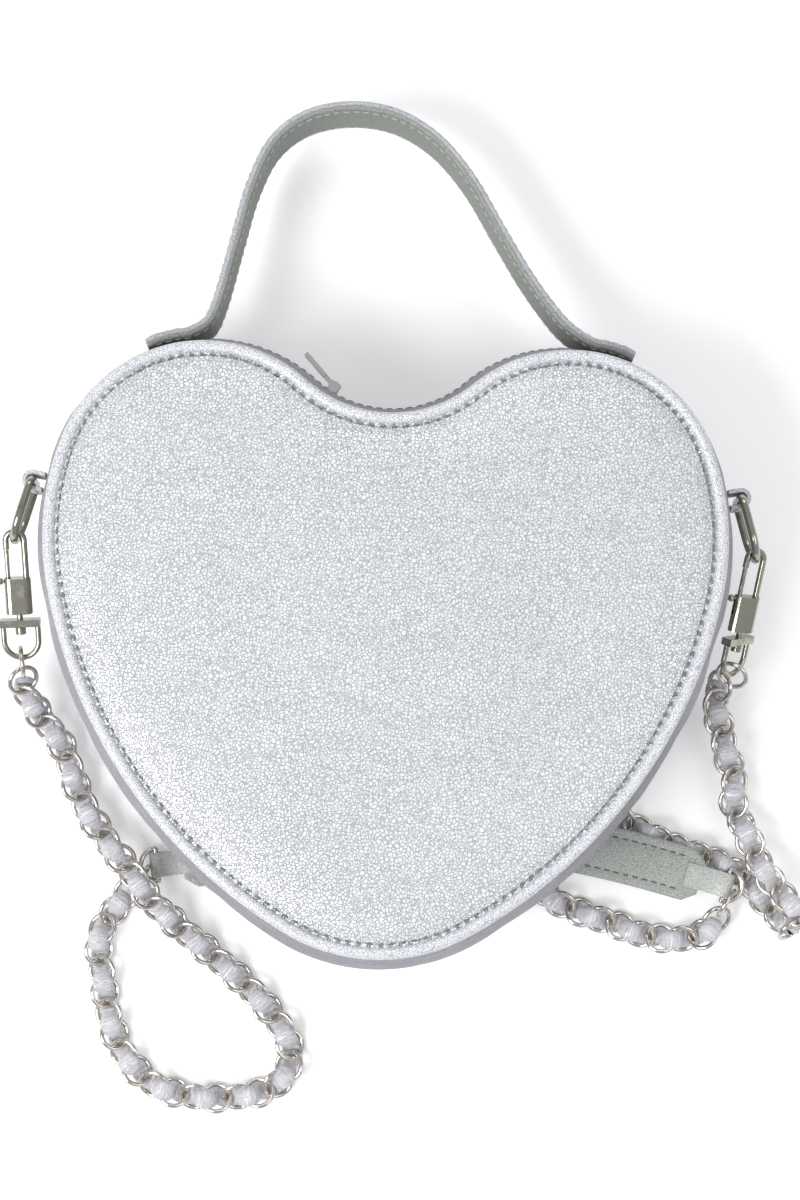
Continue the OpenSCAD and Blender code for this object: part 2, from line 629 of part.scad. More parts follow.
// Lace: a flat strip that rises and falls once over two links
lace_steps = 5;
function lace_ring(c, s, u) = let (
    d = heading(c, min(max(s, probe), total(c) - probe)),
    side = [-d.y, d.x, 0] / norm([d.x, d.y]), up = cross(d, side),
    lift = lace_wave * sin(half_turn * u), slope = lace_wave * PI / link_pitch * cos(half_turn * u),
    n = (up - slope * d) / norm(up - slope * d), p = along(c, s) + lift * up)
    [p - side * lace_w / 2 - n * lace_t / 2, p + side * lace_w / 2 - n * lace_t / 2,
     p + side * lace_w / 2 + n * lace_t / 2, p - side * lace_w / 2 + n * lace_t / 2];
module lace(c) {
    n = links(c);
    sweep([for (i = [lace_steps:(n - 1) * lace_steps]) let (u = i / lace_steps)
        lace_ring(c, link_start + (total(c) - link_start - link_end) * u / n, u)]);
}
module lace_left() { color([0.82, 0.82, 0.86]) lace(course_left); }
module lace_right() { color([0.82, 0.82, 0.86]) lace(course_right); }

// Shoulder pad: bent bands along a route under the bag's lower end
pad_route = [[-60, -102, 2.6], [-46, -100, 1.6], [-26, -96.5, 1.5], [-5, -93, 3.2], [16, -91, 5.6],
    [38, -91, 7.3], [60, -93.5, 7.6], [80, -97.5, 7.9], [99.5, -102.5, 8.1]];
pad_curve = spline(pad_route, 3);
function pad_dir(i) = let (p = pad_curve, d = p[min(i + 1, len(p) - 1)] - p[max(i - 1, 0)]) d / norm(d);
pad_chamfer = 4;
pad_total = lengths(pad_curve)[len(pad_curve) - 1];
function pad_ring(i, lo, hi, inset) = let (
    p = pad_curve[i], d = pad_dir(i), side = [-d.y, d.x, 0] / norm([d.x, d.y]), up = cross(d, side),
    s = lengths(pad_curve)[i], end = min(s, pad_total - s),
    h = pad_w / 2 - inset - max(0, pad_chamfer - end) * 0.75)
    [p - side * h + up * lo, p + side * h + up * lo, p + side * h + up * hi, p - side * h + up * hi];
module pad_layer(lo, hi, inset) {
    sweep([for (i = [0:len(pad_curve) - 1]) pad_ring(i, lo, hi, inset)]);
}
module pad_core() { color([0.85, 0.85, 0.80]) pad_layer(-pad_core_t / 2, pad_core_t / 2, leather_t); }
module pad_top() {
    color([0.62, 0.66, 0.63]) pad_layer(pad_core_t / 2 + seam_gap, pad_core_t / 2 + seam_gap + pad_face_t, 0);
}
module pad_bottom() {
    color([0.66, 0.68, 0.66]) pad_layer(-pad_core_t / 2 - seam_gap - pad_face_t, -pad_core_t / 2 - seam_gap, 0);
}

// Loops and rings at the pad's ends; end is 0 on the left and 1 on the right
pad_loop_w = 7.5;
pad_loop_l = 8;
pad_wire_r = 0.8;
module at_pad_end(end) {
    i = end > 0 ? len(pad_curve) - 1 : 0;
    d = end > 0 ? pad_dir(i) : -pad_dir(i);
    translate(pad_curve[i]) rotate([0, -asin(d.z), atan2(d.y, d.x)]) children();
}
loop_hole_r = pad_wire_r + 0.3;
loop_r = loop_hole_r + pad_face_t;
module pad_loop(end) {
    color([0.74, 0.74, 0.78]) at_pad_end(end) translate([pad_loop_l, 0, 0]) rotate([quarter_turn, 0, 0])
        linear_extrude(pad_loop_w, center = true) difference() {
            union() {
                circle(r = loop_r);
                translate([-pad_loop_l + seam_gap, -pad_face_t]) square([pad_loop_l, 2 * pad_face_t]);
            }
            circle(r = loop_hole_r);
        }
}
module pad_loop_left() { pad_loop(0); }
module pad_loop_right() { pad_loop(1); }
module pad_end_ring(end) {
    flat = pad_ring_r;
    color([0.70, 0.70, 0.66]) at_pad_end(end) translate([pad_loop_l, 0, 0]) {
        translate([0, -flat, 0]) rotate([-quarter_turn, 0, 0]) rod(2 * flat, pad_wire_r);
        rotate([0, 0, -quarter_turn]) bend(pad_ring_r, pad_wire_r, half_turn);
        for (v = [-1, 1]) translate([0, v * pad_ring_r, 0]) sphere(r = pad_wire_r);
    }
}
module pad_ring_left() { pad_end_ring(0); }
module pad_ring_right() { pad_end_ring(1); }

placed() front_panel();
placed() front_padding();
placed() front_board();
placed() front_piping();
placed() gusset();
placed() zip_strip_front();
placed() zip_strip_back();
placed() back_piping();
placed() back_panel();
placed() back_board();
placed() lining();
placed() zip_tape_front();
placed() zip_tape_back();
placed() zip_teeth_front();
placed() zip_teeth_back();
placed() zip_stops();
placed() zip_slider();
placed() zip_pull();
placed() handle_foot_left();
placed() handle_foot_right();
placed() handle_outer();
placed() handle_inner();
placed() tab_left();
placed() tab_right();
placed() ring_left();
placed() ring_right();
placed() hook_left();
placed() hook_right();
placed() gate_left();
placed() gate_right();
placed() swivel_left();
placed() swivel_right();
chain_left();
chain_right();
lace_left();
lace_right();
pad_top();
pad_core();
pad_bottom();
pad_loop_left();
pad_loop_right();
pad_ring_left();
pad_ring_right();
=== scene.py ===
# Heart shaped purse: its soft pieces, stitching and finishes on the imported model.
# Heart coordinates are millimetres in the bag's own lean, as in the part's source.
import bpy
import json
from math import acos, asin, ceil, cos, hypot, pi, radians, sin, tan
from mathutils import Matrix, Vector, noise

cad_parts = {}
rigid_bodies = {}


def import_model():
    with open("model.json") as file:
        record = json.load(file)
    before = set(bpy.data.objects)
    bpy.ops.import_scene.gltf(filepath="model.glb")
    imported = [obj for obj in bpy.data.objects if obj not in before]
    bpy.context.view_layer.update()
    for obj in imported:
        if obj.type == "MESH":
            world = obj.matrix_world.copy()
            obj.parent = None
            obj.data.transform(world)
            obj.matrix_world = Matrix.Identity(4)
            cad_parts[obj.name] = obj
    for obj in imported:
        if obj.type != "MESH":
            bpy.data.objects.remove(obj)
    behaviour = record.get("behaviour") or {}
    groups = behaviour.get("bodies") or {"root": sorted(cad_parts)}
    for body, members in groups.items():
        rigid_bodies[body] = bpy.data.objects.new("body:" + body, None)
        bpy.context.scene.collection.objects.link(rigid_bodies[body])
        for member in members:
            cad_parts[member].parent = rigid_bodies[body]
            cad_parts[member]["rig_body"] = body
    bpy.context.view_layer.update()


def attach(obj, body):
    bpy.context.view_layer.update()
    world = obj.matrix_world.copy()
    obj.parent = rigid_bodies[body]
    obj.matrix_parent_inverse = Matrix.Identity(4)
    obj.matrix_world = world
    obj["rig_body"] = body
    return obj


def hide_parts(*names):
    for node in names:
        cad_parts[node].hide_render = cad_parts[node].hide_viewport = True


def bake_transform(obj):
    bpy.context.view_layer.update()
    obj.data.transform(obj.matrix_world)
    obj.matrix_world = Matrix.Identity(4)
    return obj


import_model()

MM = 0.001

# Sizes of the part
HALF_WIDTH, SIDE_R, SIDE_UP, SIDE_DOWN = 99.0, 78.0, radians(20), radians(11)
LOBE_R, VALLEY_R, FLANK_R, TIP_R = 44.0, 37.0, 147.0, 53.0
DEPTH, LEATHER, PIPE, BULGE = 58.0, 1.6, 1.8, 6.0
LEAN, ORIGIN_Y, MID_Z = radians(5), 6.0, DEPTH / 2
SIDE_C = (HALF_WIDTH - SIDE_R, 0.0)
LOBE_C = (SIDE_C[0] + (SIDE_R - LOBE_R) * cos(SIDE_UP), (SIDE_R - LOBE_R) * sin(SIDE_UP))
VALLEY_A = asin(LOBE_C[0] / (LOBE_R + VALLEY_R))
VALLEY_C = (0.0, LOBE_C[1] + (LOBE_R + VALLEY_R) * cos(VALLEY_A))
FLANK_C = (SIDE_C[0] - (FLANK_R - SIDE_R) * cos(SIDE_DOWN), (FLANK_R - SIDE_R) * sin(SIDE_DOWN))
TIP_A = -acos(-FLANK_C[0] / (FLANK_R - TIP_R))
TIP_C = (0.0, FLANK_C[1] + (FLANK_R - TIP_R) * sin(TIP_A))
LOBE_TOP = LOBE_C[1] + LOBE_R
MID_WALL = BULGE - PIPE
HANDLE_W, HANDLE_T, HANDLE_RISE, HALF_SPAN, HINGE_H = 22.0, 3.0, 75.0, 57.0, 11.0
# The seam beside the rolled edges: its inset, its heights, the stitches' pitch and size
SEAM_INSET, SEAM_FRONT, SEAM_BACK, SEAM_PITCH = 4.35, 57.0, 0.65, 3.2
SEAM_LONG, SEAM_THICK = 1.6, 0.5


def placed(x, y, z):
    """A point of the leaning bag, in metres"""
    y -= LOBE_TOP
    return Vector((x, LOBE_TOP + y * cos(LEAN) + z * sin(LEAN) - ORIGIN_Y,
                   -y * sin(LEAN) + z * cos(LEAN) - PIPE * sin(LEAN))) * MM


def arc(c, r, a0, a1, n, sign=1):
    """Stations on an arc without its last point; sign -1 is for a hollow arc"""
    out = []
    for i in range(n):
        a = a0 + (a1 - a0) * i / n
        out.append((c[0] + r * cos(a), c[1] + r * sin(a), sign * cos(a), sign * sin(a)))
    return out


def heart_edge(step=2.6):
    """Stations [x, y, outward x, outward y] round the whole heart, from the tip"""
    def n(r, a):
        return max(3, round(r * abs(a) / step))
    right = (arc(TIP_C, TIP_R, -pi / 2, TIP_A, n(TIP_R, TIP_A + pi / 2))
             + arc(FLANK_C, FLANK_R, TIP_A, -SIDE_DOWN, n(FLANK_R, TIP_A + SIDE_DOWN))
             + arc(SIDE_C, SIDE_R, -SIDE_DOWN, SIDE_UP, n(SIDE_R, SIDE_UP + SIDE_DOWN))
             + arc(LOBE_C, LOBE_R, SIDE_UP, pi / 2 + VALLEY_A, n(LOBE_R, pi / 2 + VALLEY_A - SIDE_UP))
             + arc(VALLEY_C, VALLEY_R, -pi / 2 + VALLEY_A, -pi / 2, n(VALLEY_R, VALLEY_A), -1))
    right.append((0.0, VALLEY_C[1] - VALLEY_R, 0.0, 1.0))
    left = [(-s[0], s[1], -s[2], s[3]) for s in right[-2:0:-1]]
    return right + left


EDGE = heart_edge()
EDGE_LENGTH = sum(hypot(b[0] - a[0], b[1] - a[1]) for a, b in zip(EDGE, EDGE[1:] + EDGE[:1]))


def lengths(points):
    """The length run at each point of a line"""
    run = [0.0]
    for a, b in zip(points, points[1:]):
        run.append(run[-1] + (Vector(b) - Vector(a)).length)
    return run


def wall(z):
    """How far the bulging side stands out of the heart's outline at a height"""
    return BULGE * (1 - ((z - MID_Z) / MID_Z) ** 2) - PIPE


def off(s, d):
    """The point a distance outside a station"""
    return (s[0] + s[2] * d, s[1] + s[3] * d)


def soften(a, b, x):
    """0 at a and 1 at b, smoothly between them"""
    t = min(1.0, max(0.0, (x - a) / (b - a)))
    return t * t * (3 - 2 * t)


def spline(points, steps):
    """Smooth curve through points, in the same way as the part's source"""
    p = [Vector(q) for q in points]
    out = []
    for i in range(len(p) - 1):
        a = p[i - 1] if i else 2 * p[0] - p[1]
        b, c = p[i], p[i + 1]
        d = p[i + 2] if i + 2 < len(p) else 2 * p[i + 1] - p[i]
        for j in range(steps):
            t = j / steps
            out.append(((2 * b) + (c - a) * t + (2 * a - 5 * b + 4 * c - d) * t * t
                        + (3 * b - a - 3 * c + d) * t ** 3) / 2)
    out.append(p[-1])
    return out


class Course:
    """A route measured by its length"""
    def __init__(self, points, steps):
        self.p = spline(points, steps)
        self.s = lengths(self.p)
        self.total = self.s[-1]

    def at(self, s):
        s = min(max(s, 0.0), self.total)
        lo, hi = 0, len(self.s) - 1
        while hi - lo > 1:
            m = (lo + hi) // 2
            if self.s[m] <= s:
                lo = m
            else:
                hi = m
        t = (s - self.s[lo]) / max(self.s[hi] - self.s[lo], 1e-9)
        return self.p[lo].lerp(self.p[hi], t)

    def head(self, s):
        s = min(max(s, 0.5), self.total - 0.5)
        return (self.at(s + 0.5) - self.at(s - 0.5)).normalized()


# Camera at the photograph's place: place in mm, and turn as an axis times an angle in radians
EYE_PLACE, EYE_TURN = Vector((-1.7331, -16.0854, 867.5984)), Vector((-0.0041, -0.0077, 0.0258))
EYE_SENSOR, EYE_LENS, EYE_REACH = 36, 84.01, 20
eye_data = bpy.data.cameras.new("view_from_front")
eye_cam = bpy.data.objects.new("view_from_front", eye_data)
bpy.context.scene.collection.objects.link(eye_cam)
eye_cam.matrix_world = (Matrix.Translation(EYE_PLACE * MM)
                        @ Matrix.Rotation(EYE_TURN.length, 4, EYE_TURN.normalized()))
eye_data.sensor_width = EYE_SENSOR
eye_data.lens = EYE_LENS
eye_data.clip_end = EYE_REACH
bpy.context.scene.camera = eye_cam


# Materials: node maths written as expressions
class Wire:
    """A socket of a material's node tree"""
    def __init__(self, paint, socket):
        self.paint, self.socket = paint, socket

    def _do(self, operation, a, b=None):
        values = {i: v for i, v in enumerate((a, b)) if v is not None}
        return self.paint.node("ShaderNodeMath", {"operation": operation}, values)

    def __add__(self, o):
        return self._do("ADD", self, o)

    def __radd__(self, o):
        return self._do("ADD", o, self)

    def __sub__(self, o):
        return self._do("SUBTRACT", self, o)

    def __rsub__(self, o):
        return self._do("SUBTRACT", o, self)

    def __mul__(self, o):
        return self._do("MULTIPLY", self, o)

    def __mod__(self, o):
        return self._do("FLOORED_MODULO", self, o)

    def __abs__(self):
        return self._do("ABSOLUTE", self)

    def sine(self):
        return self._do("SINE", self)

    def step(self, a, b):
        """0 at a and 1 at b, smoothly between them"""
        return self.paint.node("ShaderNodeMapRange", {"interpolation_type": "SMOOTHSTEP"},
                               {"Value": self, "From Min": a, "From Max": b}, "Result")


class Paint:
    """A material whose nodes are added one call at a time"""
    def __init__(self, name):
        self.material = bpy.data.materials.new(name)
        self.material.use_nodes = True
        self.tree = self.material.node_tree
        self.shader = self.tree.nodes["Principled BSDF"]

    def node(self, kind, settings=None, values=None, out=0):
        n = self.tree.nodes.new(kind)
        for k, v in (settings or {}).items():
            setattr(n, k, v)
        for k, v in (values or {}).items():
            self.put(n.inputs[k], v)
        return Wire(self, n.outputs[out])

    def put(self, socket, v):
        if isinstance(v, Wire):
            self.tree.links.new(v.socket, socket)
        elif isinstance(v, (tuple, list)) and len(v) == 3 and socket.type == "RGBA":
            socket.default_value = (*v, 1)
        else:
            socket.default_value = v

    def set(self, **sockets):
        for k, v in sockets.items():
            self.put(self.shader.inputs[k.replace("_", " ")], v)
        return self

    def place(self, scale=1.0, layer="Object"):
        where = self.node("ShaderNodeTexCoord", out=layer)
        if scale == 1.0:
            return where
        return self.node("ShaderNodeVectorMath", {"operation": "SCALE"}, {0: where, "Scale": scale})

    def split(self, where):
        n = self.tree.nodes.new("ShaderNodeSeparateXYZ")
        self.put(n.inputs[0], where)
        return [Wire(self, n.outputs[i]) for i in range(3)]

    def cloud(self, where, scale, detail=3.0, rough=0.5):
        return self.node("ShaderNodeTexNoise", None,
                         {"Vector": where, "Scale": scale, "Detail": detail, "Roughness": rough}, "Fac")

    def cell_walls(self, where, scale):
        """The distance to the nearest wall between cells"""
        return self.node("ShaderNodeTexVoronoi", {"feature": "DISTANCE_TO_EDGE"},
                         {"Vector": where, "Scale": scale, "Randomness": 1.0}, "Distance")

    def blend(self, share, a, b):
        n = self.tree.nodes.new("ShaderNodeMix")
        n.data_type = "RGBA"
        self.put(n.inputs["Factor"], share)
        self.put(n.inputs[6], a)
        self.put(n.inputs[7], b)
        return Wire(self, n.outputs[2])

    def bump(self, height, depth, strength=1.0, under=None):
        values = {"Height": height, "Distance": depth, "Strength": strength}
        if under is not None:
            values["Normal"] = under
        return self.node("ShaderNodeBump", None, values, "Normal")

    def shifted(self, where, by, amount):
        """A place moved about by a cloud, so that cells lose their straight walls"""
        moved = self.node("ShaderNodeTexNoise", None, {"Vector": where, "Scale": by, "Detail": 2.0}, "Color")
        centred = self.node("ShaderNodeVectorMath", {"operation": "SUBTRACT"}, {0: moved, 1: (0.5, 0.5, 0.5)})
        small = self.node("ShaderNodeVectorMath", {"operation": "SCALE"}, {0: centred, "Scale": amount})
        return self.node("ShaderNodeVectorMath", {"operation": "ADD"}, {0: where, 1: small})


def leather(name, tone, crease_shade, grain, depth, metal, rough, seam=None, wrinkle=None):
    """Pebbled or smooth leather: a cell pattern with painted shade in its creases, with soft large patches.
    grain is in cells per metre and depth in metres, seam is (line, pitch) in mm on the piece's
    own UV map, and wrinkle is the scale of its folds on the same map"""
    p = Paint(name)
    where = p.place()
    bent = p.shifted(where, grain * 0.6, 1.3 / grain)
    pebble = p.cell_walls(bent, grain).step(0.0, 0.17)
    fine = p.cloud(where, grain * 2.2, 2.0)
    broad = p.cloud(where, 28.0, 3.0)
    lift = p.cloud(where, grain * 0.22, 2.0)
    # Painted light and shade: the grain's creases are painted darker and its raised parts lighter, beside
    # their bump; the broad patches are the leather's own uneven tone
    shade = pebble * 0.66 + fine * 0.30 + lift * 0.14 + (broad - 0.5) * 0.20
    tint = p.blend(shade.step(0.12, 0.95), crease_shade, tone)
    normal = p.bump(pebble * 0.8 + fine * 0.25 + lift * 0.5, depth)
    gloss = rough + (1 - pebble) * 0.12 + (broad - 0.5) * 0.10
    if seam is not None:
        line, pitch = seam
        u, v, _ = p.split(p.place(layer="UV"))
        across = abs(v - line)
        groove = 1 - across.step(0.25, 1.1)
        along = abs((u % pitch) - pitch / 2)
        hole = (1 - across.step(0.2, 0.75)) * (1 - along.step(0.25, 0.75))
        pull = (1 - across.step(0.8, 4.5)) * (1 - along.step(0.1, pitch * 0.5))
        # Painted shade in the seam's groove and in its stitch holes
        tint = p.blend(groove * 0.05 + hole * 0.45, tint, tuple(c * 0.30 for c in crease_shade))
        normal = p.bump(0 - groove * 1.0 - pull * 0.35 - hole * 1.2, 0.0006, 0.8, normal)
    if wrinkle is not None:
        u, v, _ = p.split(p.place(layer="UV"))
        wave = p.node("ShaderNodeCombineXYZ", None, {0: u * wrinkle[0], 1: v * wrinkle[1]})
        folds = p.cloud(wave, 1.0, 3.0, 0.6)
        lines = 1 - abs(folds - 0.5).step(0.0, 0.10)
        # Painted shade along the lines of the folds
        tint = p.blend(lines * 0.30, tint, crease_shade)
        normal = p.bump(folds * 0.8 - lines * 0.6, 0.0004, 0.9, normal)
    p.set(Base_Color=tint, Roughness=gloss, Metallic=metal, Normal=normal)
    return p.material


def metal_finish(name, tone, dark, rough):
    """Plated wire: small scratches in a pale plating, and patches that are duller and painted darker as a
    stand-in for dark reflections
    """
    p = Paint(name)
    where = p.place()
    patch_cloud = p.cloud(where, 260.0, 4.0, 0.6)
    scratch = p.node("ShaderNodeTexNoise", None,
                     {"Vector": where, "Scale": 900.0, "Detail": 2.0, "Distortion": 2.5}, "Fac")
    # Painted reflection: patches blended towards the dark tone stand in for dark surroundings seen in the
    # plating; they are also rougher
    dull_and_painted_reflection = patch_cloud.step(0.50, 0.78)
    tint = p.blend(dull_and_painted_reflection * 0.7, tone, dark)
    p.set(Base_Color=tint, Metallic=1.0, Roughness=rough + dull_and_painted_reflection * 0.16 + abs(scratch - 0.5) * 0.12,
          Normal=p.bump(scratch * 0.5 + patch_cloud, 0.00002, 0.6))
    return p.material


def cloth(name, tone, deep, thread=0.5, rough=0.85, twill=False):
    """Woven cloth: warp and weft waves on Object coordinates, a thread width in mm, with painted shade in the
    weave's low parts
    """
    p = Paint(name)
    x, y, z = p.split(p.place(1000 * pi / thread))
    a = x + z
    b = y + z * 0.35
    if twill:
        b = b + a * 0.5
    warp, weft = abs(a.sine()), abs(b.sine())
    over = ((a + b) * 0.5).sine().step(-0.3, 0.3)
    height = warp * over + weft * (1 - over)
    fuzz = p.cloud(p.place(), 2400.0, 3.0)
    broad = p.cloud(p.place(), 35.0)
    # Painted shade: the weave's low parts take the deep tone, beside their bump
    tint = p.blend((height * 0.7 + fuzz * 0.4 + (broad - 0.5) * 0.4).step(0.1, 1.0), deep, tone)
    p.set(Base_Color=tint, Roughness=rough - height * 0.1, Normal=p.bump(height + fuzz * 0.3, 0.00012))
    return p.material


FRONT = leather("pebbled_silver_front", (0.87, 0.885, 0.905), (0.44, 0.445, 0.475), 1040, 0.00020,
                metal=0.30, rough=0.42, seam=(1.4, SEAM_PITCH))
# The rolled edge is the front's own leather turned over, painted a little lighter as the light it catches
EDGE_LEATHER_LIT = leather("rolled_edge_leather_painted_light", (0.90, 0.91, 0.94), (0.42, 0.42, 0.47), 1400, 0.00008,
                       metal=0.30, rough=0.38)
# The side wall's smooth lilac-grey leather, painted much darker as the shade it lies in; the zip's leather
# strips use it too
SIDE_SHADED = leather("side_wall_leather_painted_shade", (0.44, 0.43, 0.46), (0.24, 0.23, 0.26), 1700, 0.00006,
               metal=0.30, rough=0.45, wrinkle=(0.30, 0.05))
HANDLE_OUT = leather("handle_outer_leather", (0.60, 0.60, 0.635), (0.34, 0.34, 0.37), 1300, 0.00009,
                     metal=0.28, rough=0.44)
# The handle's under layer: its leather painted darker and greener as the shade on the handle's underside
HANDLE_IN_SHADED = leather("handle_inner_leather_painted_shade", (0.38, 0.40, 0.365), (0.23, 0.245, 0.22), 1500, 0.00008,
                    metal=0.22, rough=0.50)
TAB_LEATHER = leather("tab_leather", (0.80, 0.80, 0.83), (0.42, 0.42, 0.45), 1500, 0.00007,
                      metal=0.28, rough=0.44)
LACE_LEATHER = leather("lace_leather", (0.93, 0.93, 0.96), (0.58, 0.57, 0.61), 2300, 0.00004,
                       metal=0.30, rough=0.38, wrinkle=(0.16, 1.5))
# The shoulder pad and its end strips: leather painted darker and greener as the shade under the bag
PAD_LEATHER_SHADED = leather("pad_leather_painted_shade", (0.49, 0.51, 0.48), (0.29, 0.31, 0.28), 1250, 0.00010,
                      metal=0.24, rough=0.46)
PAD_EDGE_SHADED = leather("pad_border_leather_painted_shade", (0.60, 0.62, 0.59), (0.35, 0.37, 0.34), 1500, 0.00006,
                   metal=0.24, rough=0.44)
NICKEL = metal_finish("nickel_plating", (0.44, 0.43, 0.36), (0.16, 0.16, 0.12), 0.11)
CHAIN_METAL = metal_finish("chain_plating", (0.70, 0.66, 0.61), (0.25, 0.24, 0.19), 0.12)
ZIP_METAL = metal_finish("zip_metal", (0.66, 0.66, 0.66), (0.36, 0.36, 0.36), 0.24)
LINING = cloth("lining_cloth", (0.20, 0.20, 0.21), (0.09, 0.09, 0.10), 0.45)
TAPE = cloth("zip_tape_cloth", (0.36, 0.36, 0.38), (0.17, 0.17, 0.18), 0.55, twill=True)
THREAD = cloth("sewing_thread", (0.34, 0.37, 0.35), (0.15, 0.17, 0.16), 0.22, rough=0.6)
PALE_THREAD = cloth("pale_sewing_thread", (0.82, 0.83, 0.80), (0.46, 0.48, 0.45), 0.22, rough=0.6)
DARK_THREAD = cloth("dark_sewing_thread", (0.20, 0.22, 0.21), (0.08, 0.09, 0.08), 0.22, rough=0.6)
FOAM = cloth("padding_foam", (0.82, 0.80, 0.74), (0.60, 0.58, 0.52), 0.9)
BOARD = cloth("stiffening_board", (0.50, 0.43, 0.32), (0.34, 0.28, 0.20), 1.6)


# Making pieces
MERGE = 0.000002


def deselect():
    if bpy.context.mode != "OBJECT":
        bpy.ops.object.mode_set(mode="OBJECT")
    bpy.ops.object.select_all(action="DESELECT")


def finish_edit(obj, smooth):
    """Doubles merged, faces outwards and edges sharper than the angle kept sharp"""
    bpy.ops.object.mode_set(mode="EDIT")
    bpy.ops.mesh.select_all(action="SELECT")
    bpy.ops.mesh.remove_doubles(threshold=MERGE)
    bpy.ops.mesh.normals_make_consistent(inside=False)
    bpy.ops.object.mode_set(mode="OBJECT")
    bpy.ops.object.shade_smooth_by_angle(angle=radians(smooth))
    return obj


def loft(name, rings, closed=False, caps=False, smooth=40, size=None):
    """A grid laid through a list of rings; its UV map is in mm, along the rings and along the run"""
    rows = [list(r) + ([r[0]] if closed else []) for r in rings]
    across, down = len(rows[0]), len(rows)
    deselect()
    bpy.ops.mesh.primitive_grid_add(x_subdivisions=across - 1, y_subdivisions=down - 1, size=1)
    obj = bpy.context.object
    obj.name = obj.data.name = name
    assert len(obj.data.vertices) == across * down, (name, len(obj.data.vertices), across, down)
    obj.data.vertices.foreach_set("co", [c for r in rows for p in r for c in p])
    around = size[0] if size else sum((rows[down // 2][i + 1] - rows[down // 2][i]).length
                                      for i in range(across - 1)) / MM
    run = size[1] if size else sum((rows[i + 1][0] - rows[i][0]).length for i in range(down - 1)) / MM
    for loop in obj.data.uv_layers[0].data:
        loop.uv = (loop.uv[0] * around, loop.uv[1] * run)
    if caps:
        bpy.ops.object.mode_set(mode="EDIT")
        bpy.ops.mesh.select_all(action="SELECT")
        bpy.ops.mesh.remove_doubles(threshold=MERGE)
        bpy.ops.mesh.fill_holes(sides=0)
        bpy.ops.object.mode_set(mode="OBJECT")
    return finish_edit(obj, smooth)


def dress(obj, finish, body="bag", stands_for=()):
    """Finish, body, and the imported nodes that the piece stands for"""
    obj.data.materials.clear()
    obj.data.materials.append(finish)
    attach(obj, body)
    if stands_for:
        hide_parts(*stands_for)
    return obj


def nearest(line, p):
    """Which of a line's points is nearest to a place"""
    return min(range(len(line)), key=lambda i: (line[i] - p).length)


def stitch_row(name, places, finish, long, thick):
    """One sewn stitch, made from a cylinder drawn in at its ends, and copied to each place.
    A place is (point, direction, outward) in metres, and long and thick are in mm"""
    straight, end, reach = long * MM * 0.55, long * MM * 0.22, long * MM * 0.3
    pinch, dip = 0.5, thick * MM * 0.3
    deselect()
    bpy.ops.mesh.primitive_cylinder_add(vertices=6, radius=thick * MM / 2, depth=straight)
    one = bpy.context.object
    bpy.ops.object.mode_set(mode="EDIT")
    bpy.ops.mesh.select_all(action="DESELECT")
    bpy.ops.mesh.select_mode(type="FACE")
    bpy.ops.object.mode_set(mode="OBJECT")
    for face in one.data.polygons:
        face.select = abs(face.normal.z) > 0.9
    bpy.ops.object.mode_set(mode="EDIT")
    bpy.ops.mesh.extrude_faces_move(TRANSFORM_OT_shrink_fatten={"value": end})
    bpy.ops.object.mode_set(mode="OBJECT")
    for v in one.data.vertices:
        if abs(v.co.z) > reach:
            v.co.x *= pinch
            v.co.y = v.co.y * pinch - dip
    stitches = []
    for point, way, outward in places:
        z = way.normalized()
        y = (outward - z * outward.dot(z)).normalized()
        x = y.cross(z)
        copy = bpy.data.objects.new(name, one.data.copy())
        bpy.context.scene.collection.objects.link(copy)
        copy.data.transform(Matrix((
            (x.x, y.x, z.x, point.x), (x.y, y.y, z.y, point.y), (x.z, y.z, z.z, point.z), (0, 0, 0, 1))))
        stitches.append(copy)
    bpy.data.objects.remove(one)
    deselect()
    for s in stitches:
        s.select_set(True)
    bpy.context.view_layer.objects.active = stitches[0]
    bpy.ops.object.join()
    row = bpy.context.object
    row.name = row.data.name = name
    bpy.ops.object.shade_smooth()
    return dress(row, finish)


def mirrored(edge, half, middle):
    """Points across a strip: those at one edge, the middle one, and the edge's mirrored.
    An edge point is (distance in from the edge, height)"""
    return ([(x - half, y) for x, y in edge] + [(0, middle)]
            + [(half - x, y) for x, y in edge[::-1]])


def bend(x, r):
    """Half a turn round a bar's centre at x, from below it to above it"""
    turns = [-pi / 2 + pi * k / 8 for k in range(9)]
    return [(x + cos(a) * r, sin(a) * r) for a in turns]


def sides(path):
    """The unit normal at each point of a flat path"""
    out = []
    for i in range(len(path)):
        a, b = path[max(i - 1, 0)], path[min(i + 1, len(path) - 1)]
        d = hypot(b[0] - a[0], b[1] - a[1])
        out.append(((b[1] - a[1]) / d, -(b[0] - a[0]) / d))
    return out


def spaced(points, pitch, margin=0.0):
    """Places [point, direction] a pitch apart along a line of points in metres"""
    s = lengths(points)
    total = s[-1] - 2 * margin * MM
    n = max(1, round(total / (pitch * MM)))
    out, k = [], 0
    for i in range(n):
        at = margin * MM + total * (i + 0.5) / n
        while k < len(s) - 2 and s[k + 1] < at:
            k += 1
        t = (at - s[k]) / max(s[k + 1] - s[k], 1e-9)
        out.append((points[k].lerp(points[k + 1], t), (points[k + 1] - points[k]).normalized()))
    return out


